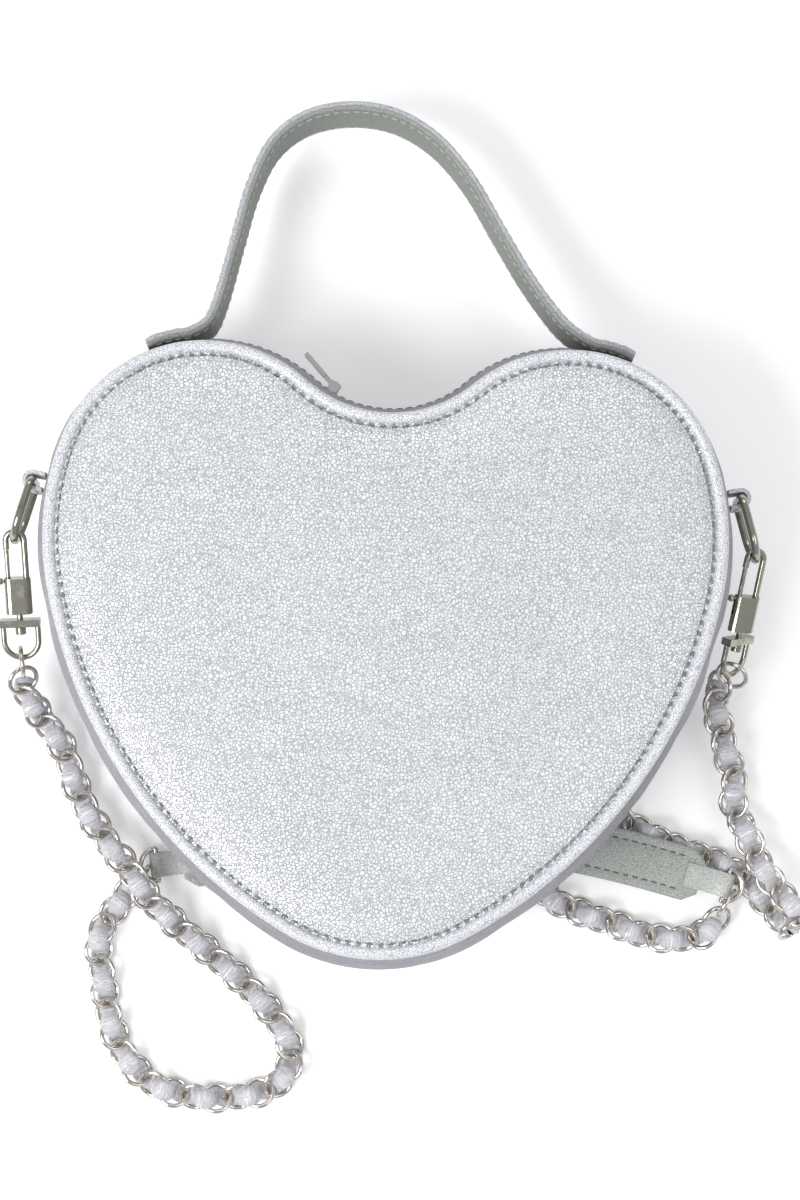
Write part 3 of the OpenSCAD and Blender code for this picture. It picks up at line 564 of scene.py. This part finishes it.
# The strap: a lace woven through each chain
ROUTE_LEFT = [(-108.6, -40.6, 23.6), (-107.9, -50.7, 17), (-103, -59, 10.3), (-96.9, -68.2, 7.8),
              (-92, -81.5, 7), (-85, -93, 9), (-75.8, -103.7, 12.6), (-68.6, -113.6, 10.8),
              (-60, -122, 6.3), (-48.5, -131.7, 3.8), (-38.5, -140.5, 3.1), (-29.5, -150.5, 3.1),
              (-25, -160.5, 3.1), (-29, -170, 3.1), (-40, -174, 3.1), (-54, -174.5, 3.1), (-67, -171, 3.1),
              (-76, -162.5, 3.1), (-81, -151.5, 3.1), (-83.5, -139, 3.1), (-85, -125.9, 3.6),
              (-79.3, -115.6, 3.1), (-73, -107.2, 5.3)]
ROUTE_RIGHT = [(106, -39.3, 22.2), (101.9, -46.2, 14.4), (106, -62.9, 9.7), (109.1, -72, 7.7),
               (109, -79, 7.6), (113.5, -89.5, 9.6), (118.5, -99.5, 10.9), (123.5, -105.8, 12),
               (128.4, -111.7, 10.9), (127.9, -117.1, 7.5), (127.3, -117.3, 5.1), (121.2, -111.1, 3.6),
               (114.1, -103, 3.9), (103.9, -97.5, 3.1), (91.5, -93.5, 3.1), (79.5, -88, 3.1),
               (68, -82.5, 3.1), (56.6, -81.5, 3), (46.9, -89, 3.1), (46.1, -99.2, 3), (53.8, -110.2, 3.3),
               (63, -114.5, 3.1), (73.7, -117.9, 3.1), (86.7, -121.9, 3.2), (101.1, -120.3, 3.8),
               (107.7, -110, 7.8)]
LINK_PITCH, LINK_START = 6.65, 0.5
# The lace's rise, its half width and half height where it is gathered, and what a crest adds
LACE_WAVE, LACE_THIN, LACE_FULL = 2.4, (1.95, 0.58), (1.3, 0.85)
LACE_OUT, LACE_IN, FLOOR_GAP = 1.25, 0.65, 0.1
LACE_STEPS, LACE_SIDES, LACE_ROUND = 9, 14, 12.0


def lace(name, route, chain):
    """The lace rises over two wires and dips under the next two. It is full on its crests and
    gathered where it goes through a link. Its section is a rounded oblong, fuller outwards"""
    course = Course(route, 6)
    n = ceil((course.total - LINK_START) / LINK_PITCH)
    pitch = (course.total - LINK_START) / n
    rings, line = [], []
    for i in range(LACE_STEPS, (n - 1) * LACE_STEPS + 1):
        u = i / LACE_STEPS
        s = LINK_START + pitch * u
        d = course.head(s)
        side = Vector((-d.y, d.x, 0)).normalized()
        up = d.cross(side)
        lift = LACE_WAVE * sin(pi * u)
        slope = LACE_WAVE * pi / pitch * cos(pi * u)
        normal = (up - d * slope).normalized()
        p = course.at(s) + up * lift
        full = abs(sin(pi * u)) ** 0.7
        wide = LACE_THIN[0] + LACE_FULL[0] * full
        deep = LACE_THIN[1] + LACE_FULL[1] * full
        sign = 1 if lift > 0 else -1
        ring = []
        for k in range(LACE_SIDES):
            a = 2 * pi * k / LACE_SIDES
            c, q = cos(a), sin(a)
            x = wide * (abs(c) ** 0.85) * (1 if c > 0 else -1)
            crown = deep * (abs(q) ** 0.75) * (1 if q > 0 else -1)
            y = crown * (LACE_OUT if q * sign > 0 else LACE_IN)
            at = p + side * x + normal * y
            at.z = max(at.z, FLOOR_GAP)
            ring.append(at * MM)
        rings.append(ring)
        if i % 3 == 0:
            line.append(course.at(s) * MM)
    obj = loft(name, rings, closed=True, caps=True, smooth=70, size=(LACE_ROUND, course.total))
    dress(obj, LACE_LEATHER, "bag", [chain.replace("chain", "lace")])
    return obj, line


for side in ("left", "right"):
    woven, line = lace("strap_lace_" + side, ROUTE_LEFT if side == "left" else ROUTE_RIGHT, "chain_" + side)
    "chain_" + side
    "pad_ring_" + side


# Front of the bag
# Insets from the outline and heights of the padded front, from its seam to its flat middle
FRONT_PROFILE = [(3.15, 55.9), (3.3, 56.5), (3.75, 56.85), (4.3, 56.9), (4.9, 57.0), (5.6, 57.35),
                 (6.6, 57.8), (8.0, 58.25), (10.0, 58.75), (13.0, 59.3), (17.0, 59.75), (22.0, 60.05),
                 (28.0, 60.2), (34.45, 60.25)]
# The padded face's broad waves, and the rings that close the heart on its middle
WAVE_SCALE, WAVE_FROM, WAVE_FULL = 0.035, 6.0, 20.0
MIDDLE_RINGS, MIDDLE_END, MIDDLE_Y = 8, 0.995, -12


def swell(x, y):
    """A padded face's broad waves"""
    return noise.noise(Vector((x, y, 3.0)) * WAVE_SCALE)


def cover(name, profile, crown, wave=0.0):
    """A heart shaped skin: rings run in from the seam, then close on the middle, which rises by
    crown. Its waves grow from the seam inwards"""
    rings = []
    last = [off(s, -profile[-1][0]) for s in EDGE]
    for inset, z in profile:
        ring = []
        for s in EDGE:
            x, y = off(s, -inset)
            ring.append(placed(x, y, z + wave * soften(WAVE_FROM, WAVE_FULL, inset) * swell(x, y)))
        rings.append(ring)
    for k in range(1, MIDDLE_RINGS + 1):
        t = k / MIDDLE_RINGS if k < MIDDLE_RINGS else MIDDLE_END
        ring = []
        for x0, y0 in last:
            x, y = x0 * (1 - t), y0 + (MIDDLE_Y - y0) * t
            ring.append(placed(x, y, profile[-1][1] + wave * swell(x, y) + crown * (1 - (1 - t) ** 2)))
        rings.append(ring)
    obj = loft(name, rings, closed=True, smooth=80, size=(EDGE_LENGTH, 1.0))
    runs = [0.0]
    for a, b in zip(rings, rings[1:]):
        runs.append(runs[-1] + (b[0] - a[0]).length / MM)
    for loop in obj.data.uv_layers[0].data:
        v = loop.uv[1] * (len(rings) - 1)
        k = min(int(v + 1e-4), len(rings) - 2)
        loop.uv[1] = runs[k] + (runs[k + 1] - runs[k]) * (v - k)
    deselect()
    obj.select_set(True)
    bpy.context.view_layer.objects.active = obj
    bpy.ops.object.mode_set(mode="EDIT")
    bpy.ops.mesh.select_all(action="SELECT")
    bpy.ops.mesh.fill_holes(sides=0)
    bpy.ops.mesh.normals_make_consistent(inside=False)
    bpy.ops.object.mode_set(mode="OBJECT")
    return obj


front = cover("front_leather", FRONT_PROFILE, 0.15, wave=0.5)
dress(front, FRONT, "bag", ["front_panel"])


def rolled_edge(name, z, node):
    """Leather rolled over a cord: its thickness varies a little along the edge"""
    uneven, uneven_scale, steps = 0.03, 0.11, 16
    rings = []
    for s in EDGE:
        ring = []
        r = PIPE * (1 + uneven * noise.noise(Vector((s[0], s[1], z)) * uneven_scale))
        for j in range(steps):
            a = 2 * pi * j / steps
            ring.append(placed(*off(s, r * (sin(a) - 1)), z + r * cos(a)))
        rings.append(ring)
    rings.append(rings[0])
    obj = loft(name, rings, closed=True, smooth=80, size=(2 * pi * PIPE, EDGE_LENGTH))
    return dress(obj, EDGE_LEATHER_LIT, "bag", [node])


rolled_edge("front_rolled_edge", DEPTH - PIPE, "front_piping")
rolled_edge("back_rolled_edge", PIPE, "back_piping")
up = (placed(0, 0, 1) - placed(0, 0, 0)).normalized()


def topstitch(name, z, out):
    """The row of stitches beside a rolled edge, just clear of the leather"""
    clear = 0.1 * MM
    seam = [placed(*off(s, -SEAM_INSET), z) for s in EDGE]
    seam.append(seam[0])
    stitch_row(name, [(p + out * clear, d, out) for p, d in spaced(seam, SEAM_PITCH)], THREAD,
               SEAM_LONG, SEAM_THICK)


topstitch("front_topstitch", SEAM_FRONT, up)


# Back, side walls and zip
BACK_PROFILE = [(3.2, 2.1), (3.3, 1.2), (3.8, 0.75), (4.5, 0.65), (5.4, 0.4), (6.6, 0.15), (9, 0.02),
                (14, 0.0), (22, 0.0), (34.45, 0.0)]
back = cover("back_leather", BACK_PROFILE, 0.0)
dress(back, FRONT, "bag", ["back_panel"])
topstitch("back_topstitch", SEAM_BACK, -up)


def side_run():
    """Stations of the soft side wall, from one lobe's top round the tip to the other"""
    n = len(EDGE)
    top = max(range(n // 2), key=lambda i: EDGE[i][1])
    return [EDGE[i % n] for i in range(n - top, n + top + 1)]


# A side wall's large and small folds: their scales along and across it, and the noise's layer
LARGE_FOLD, SMALL_FOLD = (0.055, 0.028, 1.7), (0.16, 0.05, 7.1)
# The small folds' depth beside the large ones, and how much of a fold shows where it points out
SMALL_SHARE, OUT_SHARE = 0.35, 0.15


def fold_at(run, z, fold):
    """How far a fold stands in or out at a place on the wall, from about -1 to 1"""
    return noise.noise(Vector((run * fold[0], z * fold[1], fold[2])))


def skin(name, run, lo, hi, thick, rows, finish, nodes, sag=0.0, drop=0.0, lip=0.0):
    """A wall that follows the bulging side between two heights of each station. sag is the depth
    of its folds, drop its place under the outer face, and lip rounds its long edges"""
    rings, about = [], [0.0]
    for i, s in enumerate(run):
        if i:
            about.append(about[-1] + hypot(s[0] - run[i - 1][0], s[1] - run[i - 1][1]))
        a, b = lo(i), hi(i)
        outer, inner = [], []
        for j in range(rows + 1):
            t = j / rows
            z = a + (b - a) * t
            fold = sag * fold_at(about[-1], z, LARGE_FOLD)
            fold += SMALL_SHARE * sag * fold_at(about[-1], z, SMALL_FOLD)
            fold *= min(1.0, 4 * t, 4 * (1 - t)) * (1.0 if fold < 0 else OUT_SHARE)
            roll = lip * 0.45 * (1 - soften(0, 0.12, min(t, 1 - t)))
            outer.append(placed(*off(s, wall(z) - drop + fold - roll), z))
            inner.append(placed(*off(s, wall(z) - drop + fold - thick + roll), z))
        rings.append(outer + inner[::-1])
    obj = loft(name, rings, closed=True, caps=True, smooth=75,
               size=(2 * (DEPTH - 2 * LEATHER), about[-1]))
    return dress(obj, finish, "bag", nodes)


# The side's leather is tucked between the rolled edges
TUCK = 0.45
TUCK_LO, TUCK_HI = 2 * PIPE - TUCK, DEPTH - 2 * PIPE + TUCK
skin("side_wall", side_run(), lambda i: TUCK_LO, lambda i: TUCK_HI, LEATHER, 14, SIDE_SHADED, ["gusset"],
     sag=1.1, drop=0.25)

LOBE_L, VALLEY_L = LOBE_R * VALLEY_A, 2 * VALLEY_R * VALLEY_A
ZIP_L, ZIP_STEPS = 2 * LOBE_L + VALLEY_L, 84
SLIDER_L, TOOTH_PITCH, SLOT_HALF, MOUTH_HALF = 9.0, 2.5, 4.5, 7.0
# The tape: thickness, how far it goes under the leather, its half gap and its gap to the leather
TAPE_T, TAPE_UNDER, TAPE_GAP, TAPE_CLEAR = 0.6, 6, 1.8, 0.25


def on_zip(s):
    """The station at a length along the zip, from the right lobe's top to the left one's"""
    if s < LOBE_L:
        a = pi / 2 + s / LOBE_R
        return (LOBE_C[0] + LOBE_R * cos(a), LOBE_C[1] + LOBE_R * sin(a), cos(a), sin(a))
    if s < LOBE_L + VALLEY_L:
        a = -pi / 2 + VALLEY_A - (s - LOBE_L) / VALLEY_R
        return (VALLEY_C[0] + VALLEY_R * cos(a), VALLEY_C[1] + VALLEY_R * sin(a), -cos(a), -sin(a))
    a = pi / 2 - VALLEY_A + (s - LOBE_L - VALLEY_L) / LOBE_R
    return (-LOBE_C[0] + LOBE_R * cos(a), LOBE_C[1] + LOBE_R * sin(a), cos(a), sin(a))


SLIDER_SHARE = 0.9
SLIDER_S = LOBE_L + SLIDER_SHARE * VALLEY_L
MOUTH_END, MOUTH_START = SLIDER_S + SLIDER_L / 2, 2 * TOOTH_PITCH


def parted(s):
    """How far each side of the open zip has moved from where it lies when closed"""
    if s < MOUTH_START or s > MOUTH_END:
        return 0.0
    return MOUTH_HALF * sin(pi * (s - MOUTH_START) / (MOUTH_END - MOUTH_START))


zip_s = [ZIP_L * i / ZIP_STEPS for i in range(ZIP_STEPS + 1)]
zip_run = [on_zip(s) for s in zip_s]
gape = [parted(s) for s in zip_s]
skin("zip_leather_back", zip_run, lambda i: TUCK_LO, lambda i: MID_Z - SLOT_HALF - gape[i], LEATHER, 8,
     SIDE_SHADED, ["zip_strip_back"], sag=0.15, lip=0.5)
skin("zip_leather_front", zip_run, lambda i: MID_Z + SLOT_HALF + gape[i], lambda i: TUCK_HI, LEATHER, 8,
     SIDE_SHADED, ["zip_strip_front"], sag=0.15, lip=0.5)
skin("zip_cloth_back", zip_run, lambda i: MID_Z - SLOT_HALF - TAPE_UNDER - gape[i],
     lambda i: MID_Z - TAPE_GAP - gape[i], TAPE_T, 5, TAPE, ["zip_tape_back"],
     drop=LEATHER + TAPE_CLEAR)
skin("zip_cloth_front", zip_run, lambda i: MID_Z + TAPE_GAP + gape[i],
     lambda i: MID_Z + SLOT_HALF + TAPE_UNDER + gape[i], TAPE_T, 5, TAPE, ["zip_tape_front"],
     drop=LEATHER + TAPE_CLEAR)
ZIP_SEAM, ZIP_SEAM_LIFT, ZIP_SEAM_PITCH = 1.6, 0.12, 3.0
for name, sign in (("zip_stitches_back", -1), ("zip_stitches_front", 1)):
    line = []
    for st, g in zip(zip_run, gape):
        z = MID_Z + sign * (SLOT_HALF + g + ZIP_SEAM)
        line.append(placed(*off(st, wall(z) + ZIP_SEAM_LIFT), z))
    places = []
    for p, d in spaced(line, ZIP_SEAM_PITCH, 1.0):
        st = zip_run[nearest(line, p)]
        out = (placed(*off(st, 1), MID_Z) - placed(*off(st, 0), MID_Z)).normalized()
        places.append((p, d, out))
    stitch_row(name, places, THREAD, 2.1, 0.45)


# The lining is open within OPEN_HALF of the middle, further up the heart than OPEN_FROM, and
# between the heights OPEN_Z, which lean with the bag and hold at y = OPEN_Y
OPEN_HALF, OPEN_FROM, OPEN_Y, OPEN_Z = 31, 18, 45, (17, 42)
LINING_T, LINING_GAP, LINING_FOLD = 0.6, 1.8, 0.9


def lining():
    """A cloth bag inside the walls, open under the zip"""
    inset = PIPE + LEATHER + LINING_GAP
    rings = []
    for inset_by, z in ((30, 3.2), (inset + 2, 3.2), (inset, 4.6), (inset - 0.3, 12), (inset - 0.6, 20),
                        (inset - 0.6, 29), (inset - 0.6, 38), (inset - 0.3, 46), (inset, 52.0),
                        (inset + 2, 53.4), (30, 53.4)):
        ring = []
        for s in EDGE:
            fold = LINING_FOLD * noise.noise(Vector((s[0] * 0.06, s[1] * 0.06, z * 0.05)))
            ring.append(placed(*off(s, -inset_by - max(0.0, fold)), z))
        rings.append(ring)
    obj = loft("lining_bag", rings, closed=True, smooth=80)
    bpy.ops.object.mode_set(mode="EDIT")
    bpy.ops.mesh.select_mode(type="FACE")
    bpy.ops.mesh.select_all(action="DESELECT")
    bpy.ops.object.mode_set(mode="OBJECT")
    from_y = placed(0, OPEN_FROM, MID_Z).y
    for f in obj.data.polygons:
        c = f.center / MM
        height = c.z + (c.y - OPEN_Y) * tan(LEAN)
        f.select = abs(c.x) < OPEN_HALF and f.center.y > from_y and OPEN_Z[0] < height < OPEN_Z[1]
    bpy.ops.object.mode_set(mode="EDIT")
    bpy.ops.mesh.delete(type="FACE")
    bpy.ops.object.mode_set(mode="OBJECT")
    hem = obj.modifiers.new("cloth_thickness", "SOLIDIFY")
    hem.thickness = LINING_T * MM
    hem.offset = -1
    bpy.ops.object.modifier_apply(modifier=hem.name)
    return dress(obj, LINING, "bag", ["lining"])


lining()


# Handle
SEAT_R = LOBE_R + MID_WALL + 0.05 + HANDLE_T / 2
ARCH = [(-0.955, 0.115), (-0.905, 0.20), (-0.86, 0.33), (-0.81, 0.49), (-0.745, 0.68), (-0.64, 0.85),
        (-0.47, 0.955), (-0.24, 0.995), (0, 0.97), (0.215, 0.875), (0.395, 0.72), (0.555, 0.52),
        (0.71, 0.33), (0.86, 0.18), (0.95, 0.115)]
FOOT = [radians(67 + 15 * i / 4) for i in range(5)]
foot_points = [(LOBE_C[0] + SEAT_R * cos(a), LOBE_C[1] + SEAT_R * sin(a), 0) for a in FOOT]
handle_line = spline([(-x, y, 0) for x, y, _ in foot_points]
                     + [(x * HALF_SPAN, LOBE_TOP + y * HANDLE_RISE, 0) for x, y in ARCH]
                     + foot_points[::-1], 6)


def normal_at(line, i):
    """The outer side of a line that lies in the bag's plane"""
    d = line[min(i + 1, len(line) - 1)] - line[max(i - 1, 0)]
    return Vector((-d.y, d.x, 0)).normalized()


def strap_layer(name, inner, outer, finish):
    """One leather layer of the handle between two distances from its middle. The outer face has
    rounded edges and a groove under each row of stitches, and its ends are narrower"""
    last = len(handle_line) - 1
    thick, puff = outer - inner, 0.10 if outer > 0 else -0.10
    edge = [(0, inner), (-0.05, (inner + outer) / 2), (0.10, outer - thick * 0.30),
            (0.55, outer - thick * 0.06), (1.3, outer), (1.9, outer - puff * 0.8),
            (2.6, outer + puff * 0.4), (4.5, outer + puff)]
    rings = []
    for i, p in enumerate(handle_line):
        n = normal_at(handle_line, i)
        half = HANDLE_W / 2 * min(1.0, 0.80 + 0.05 * min(i, last - i))
        profile = mirrored(edge, half, outer + puff * 1.3) + [(0, inner)]
        rings.append([placed(p.x + n.x * d, p.y + n.y * d, MID_Z + z) for z, d in profile])
    obj = loft(name, rings, closed=True, caps=True, smooth=50)
    obj.data.materials.clear()
    obj.data.materials.append(finish)
    return obj


# Places under the handle's hinge and over it
HINGE_UNDER, HINGE_OVER = 4, 12
hinge_lo = placed(0, LOBE_TOP + HINGE_H - HINGE_UNDER, MID_Z)
hinge_hi = placed(0, LOBE_TOP + HINGE_H + HINGE_OVER, MID_Z)
LAYER_GAP, LAYER_FACE = 0.03, HANDLE_T / 2
outer_strap = strap_layer("handle_outer_strap", LAYER_GAP, LAYER_FACE, HANDLE_OUT)
inner_strap = strap_layer("handle_inner_strap", -LAYER_GAP, -LAYER_FACE, HANDLE_IN_SHADED)
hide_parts("handle_outer", "handle_foot_left", "handle_foot_right")
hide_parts("handle_inner")
strap_rows = []
HANDLE_SEAM, HANDLE_PITCH = 9.1, 2.9
keep = range(4, len(handle_line) - 4)
for name, side_z, face in (("handle_stitches_outer_front", HANDLE_SEAM, 1),
                           ("handle_stitches_outer_back", -HANDLE_SEAM, 1),
                           ("handle_stitches_inner_front", HANDLE_SEAM, -1),
                           ("handle_stitches_inner_back", -HANDLE_SEAM, -1)):
    line = []
    for i in keep:
        on_face = handle_line[i] + normal_at(handle_line, i) * (LAYER_FACE * face)
        line.append(placed(on_face.x, on_face.y, MID_Z + side_z))
    places = []
    for p, d in spaced(line, HANDLE_PITCH):
        n = normal_at(handle_line, keep[nearest(line, p)])
        out = (placed(n.x, n.y, 0) - placed(0, 0, 0)).normalized() * face
        places.append((p, d, out))
    row = stitch_row(name, places, PALE_THREAD, 2.2, 0.6)
    row.parent = None
    row.matrix_world = Matrix.Identity(4)
    del row["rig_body"]
    strap_rows.append(row)
for piece in [outer_strap, inner_strap] + strap_rows:
    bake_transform(piece)


# Side tabs
TAB_A, TAB_W, TAB_T, TAB_H, RING_WIRE = radians(11), 11.0, 1.4, 3.6, 1.2
TAB_HOLE = RING_WIRE + 0.4
bar_at = (SIDE_C[0] + (SIDE_R + MID_WALL + TAB_H) * cos(TAB_A), (SIDE_R + MID_WALL + TAB_H) * sin(TAB_A))


def by_bar(side, x, y, w):
    """A point beside a ring's bar, x away from the bag, y along its wall and w up, in metres"""
    return placed(side * (bar_at[0] + x * cos(TAB_A) - y * sin(TAB_A)),
                  bar_at[1] + x * sin(TAB_A) + y * cos(TAB_A), MID_Z + w)


def tab(name, side):
    """A strip of leather folded round the ring's bar, its two ends sewn to the wall"""
    foot, straight, turn = -TAB_H + 0.1, -1.2, TAB_HOLE + TAB_T / 2
    path = [(foot, -turn), (straight, -turn)] + bend(0, turn) + [(straight, turn), (foot, turn)]
    half = TAB_W / 2
    section = (mirrored([(0, -0.35), (0, 0.35), (0.35, 0.5), (1.1, 0.47)], half, 0.54)
               + mirrored([(0.35, -0.5)], half, -0.5)[::-1])
    rings = []
    for (u, v), n in zip(path, sides(path)):
        rings.append([by_bar(side, u + n[0] * t * TAB_T, v + n[1] * t * TAB_T, w) for w, t in section])
    obj = loft(name, rings, closed=True, caps=True, smooth=50)
    dress(obj, TAB_LEATHER, "bag", [name.replace("ring_tab", "tab")])
    seam_x, seam_y = -1.9, TAB_HOLE + TAB_T * 1.03
    places = []
    for w in (-3.6, -1.2, 1.2, 3.6):
        for sgn in (-1, 1):
            out = Vector((-side * sin(TAB_A), cos(TAB_A), 0)) * sgn
            places.append((by_bar(side, seam_x, sgn * seam_y, w), placed(0, 0, 1) - placed(0, 0, 0),
                           (placed(out.x, out.y, 0) - placed(0, 0, 0)).normalized()))
    stitch_row(name + "_stitches", places, THREAD, 1.7, 0.4)


tab("ring_tab_left", -1)
tab("ring_tab_right", 1)


# Shoulder pad
PAD_ROUTE = [(-60, -102, 2.6), (-46, -100, 1.6), (-26, -96.5, 1.5), (-5, -93, 3.2), (16, -91, 5.6),
             (38, -91, 7.3), (60, -93.5, 7.6), (80, -97.5, 7.9), (99.5, -102.5, 8.1)]
PAD_W, PAD_CHAMFER, LOOP_L, LOOP_W, PAD_WIRE = 16.5, 4.0, 8.0, 7.5, 0.8
# The pad's seam: its distance from the edge, its groove's height and the stitches' pitch
PAD_SEAM, PAD_GROOVE, PAD_PITCH = 3.0, 0.78, 3.0
pad_line = spline(PAD_ROUTE, 10)
pad_s = lengths(pad_line)


def pad_frame(i):
    d = (pad_line[min(i + 1, len(pad_line) - 1)] - pad_line[max(i - 1, 0)]).normalized()
    side = Vector((-d.y, d.x, 0)).normalized()
    return pad_line[i], d, side, d.cross(side)


def pad_half(i):
    end = min(pad_s[i], pad_s[-1] - pad_s[i])
    return PAD_W / 2 - max(0.0, PAD_CHAMFER - end) * 0.75


pad_rings = []
for i in range(len(pad_line)):
    p, d, side, lift = pad_frame(i)
    h = pad_half(i)
    end = min(pad_s[i], pad_s[-1] - pad_s[i])
    full = soften(0.5, 7.0, end)
    rise = 0.9 + 0.55 * full
    top = mirrored([(0, -0.55), (-0.05, 0.0), (0.1, 0.55), (0.6, 0.82), (1.6, 0.9), (2.5, 0.84),
                    (PAD_SEAM, PAD_GROOVE), (3.5, 0.98), (4.3, rise * 0.86), (5.4, rise)], h, rise * 1.04)
    under = mirrored([(0.5, -0.9), (3.4, -1.0), (5.0, -1.2)], h, -1.3)[::-1]
    pad_rings.append([(p + side * a + lift * b) * MM for a, b in top + under])
pad = loft("shoulder_pad", pad_rings, closed=True, caps=True, smooth=60)
dress(pad, PAD_LEATHER_SHADED, "bag", ["pad_top", "pad_bottom", "pad_core"])
places = []
skyward = Vector((0, 0, 1))
for sgn in (-1, 1):
    line = []
    for i in range(3, len(pad_line) - 3):
        p, d, side, lift = pad_frame(i)
        line.append((p + side * sgn * (pad_half(i) - PAD_SEAM) + lift * PAD_GROOVE) * MM)
    places += [(q, way, skyward) for q, way in spaced(line, PAD_PITCH)]
for i in (3, len(pad_line) - 4):
    p, d, side, lift = pad_frame(i)
    line = [(p + side * w + lift * 0.9) * MM for w in (-4.6, 0, 4.6)]
    places += [(q, way, skyward) for q, way in spaced(line, PAD_PITCH)]
stitch_row("pad_stitches", places, DARK_THREAD, 2.2, 0.55)


LOOP_T, LOOP_CLEAR = 1.0, 0.3


def pad_end(name, i, sign):
    """A narrow strip folded round the end ring's bar and sewn to the pad"""
    p, d, _, _ = pad_frame(i)
    d = d * sign
    side = Vector((-d.y, d.x, 0)).normalized()
    lift = d.cross(side)
    path = ([(-2.6, -0.5), (1.5, -0.55), (LOOP_L - 2.6, -0.75), (LOOP_L - 1.3, -1.3)]
            + bend(LOOP_L, PAD_WIRE + LOOP_CLEAR + LOOP_T / 2)
            + [(LOOP_L - 1.3, 1.3), (LOOP_L - 2.6, 0.75), (1.5, 0.6), (-1.0, 0.95), (-5.0, 1.55)])
    section = (mirrored([(0, -0.3), (0, 0.3), (0.4, 0.5)], LOOP_W / 2, 0.55)
               + mirrored([(0.4, -0.5)], LOOP_W / 2, -0.5)[::-1])
    rings = []
    for (u, v), n in zip(path, sides(path)):
        rings.append([(p + d * (u + n[0] * t) + side * w + lift * (v + n[1] * t)) * MM for w, t in section])
    obj = loft(name, rings, closed=True, caps=True, smooth=50)
    return dress(obj, PAD_EDGE_SHADED, "bag", [name.replace("strip", "loop")])


pad_end("pad_strip_left", 0, -1)
pad_end("pad_strip_right", len(pad_line) - 1, 1)


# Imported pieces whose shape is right: their finishes
FINISH = {
    "front_padding": FOAM, "front_board": BOARD, "back_board": BOARD, "zip_teeth_front": ZIP_METAL,
    "zip_teeth_back": ZIP_METAL, "zip_stops": ZIP_METAL, "zip_slider": ZIP_METAL, "zip_pull": ZIP_METAL,
    "ring_left": NICKEL, "ring_right": NICKEL, "hook_left": NICKEL, "hook_right": NICKEL,
    "gate_left": NICKEL, "gate_right": NICKEL, "swivel_left": NICKEL, "swivel_right": NICKEL,
    "chain_left": CHAIN_METAL, "chain_right": CHAIN_METAL, "pad_ring_left": CHAIN_METAL,
    "pad_ring_right": CHAIN_METAL}
for name, finish in FINISH.items():
    for s in bpy.data.objects[name].material_slots:
        s.material = finish


# Floor and soft studio light, in metres and watts
FLOOR_SIZE, FLOOR_PLACE, FLOOR_GLOW, SKY_STRENGTH = 6, (0, 0, -0.0002), 0.22, 0.50
LAMP_AIM = Vector((0, 0, 0.02))
deselect()
bpy.ops.mesh.primitive_grid_add(x_subdivisions=8, y_subdivisions=8, size=FLOOR_SIZE, location=FLOOR_PLACE)
floor_piece = bpy.context.object
floor_piece.name = "studio_floor"
ground = Paint("pale_floor")
pale = ground.cloud(ground.place(), 3.0)
ground.set(Base_Color=ground.blend(pale, (0.90, 0.90, 0.90), (0.93, 0.93, 0.93)), Roughness=0.9)
seen = ground.node("ShaderNodeLightPath", out="Is Camera Ray")
ground.set(Emission_Color=(1.0, 1.0, 1.0), Emission_Strength=seen * FLOOR_GLOW)
floor_piece.data.materials.append(ground.material)

world = bpy.data.worlds.new("studio")
bpy.context.scene.world = world
world.use_nodes = True
sky = world.node_tree
tone = sky.nodes["Background"]
tone.inputs["Color"].default_value = (0.95, 0.97, 1.0, 1)
tone.inputs["Strength"].default_value = SKY_STRENGTH


def lamp(name, place, size, power):
    """A soft rectangular light that looks at the purse"""
    data = bpy.data.lights.new(name, "AREA")
    data.shape = "RECTANGLE"
    data.size, data.size_y = size
    data.energy = power
    obj = bpy.data.objects.new(name, data)
    bpy.context.scene.collection.objects.link(obj)
    obj.location = place
    obj.rotation_euler = (LAMP_AIM - Vector(place)).to_track_quat("-Z", "Y").to_euler()


lamp("key_light", (-0.75, -0.45, 1.2), (0.8, 0.6), 15.0)
lamp("fill_light", (0.9, -0.3, 1.2), (0.8, 0.8), 3.5)
lamp("top_light", (0.0, 0.9, 1.0), (1.2, 0.5), 4.0)
bpy.context.scene.view_settings.view_transform = "Standard"
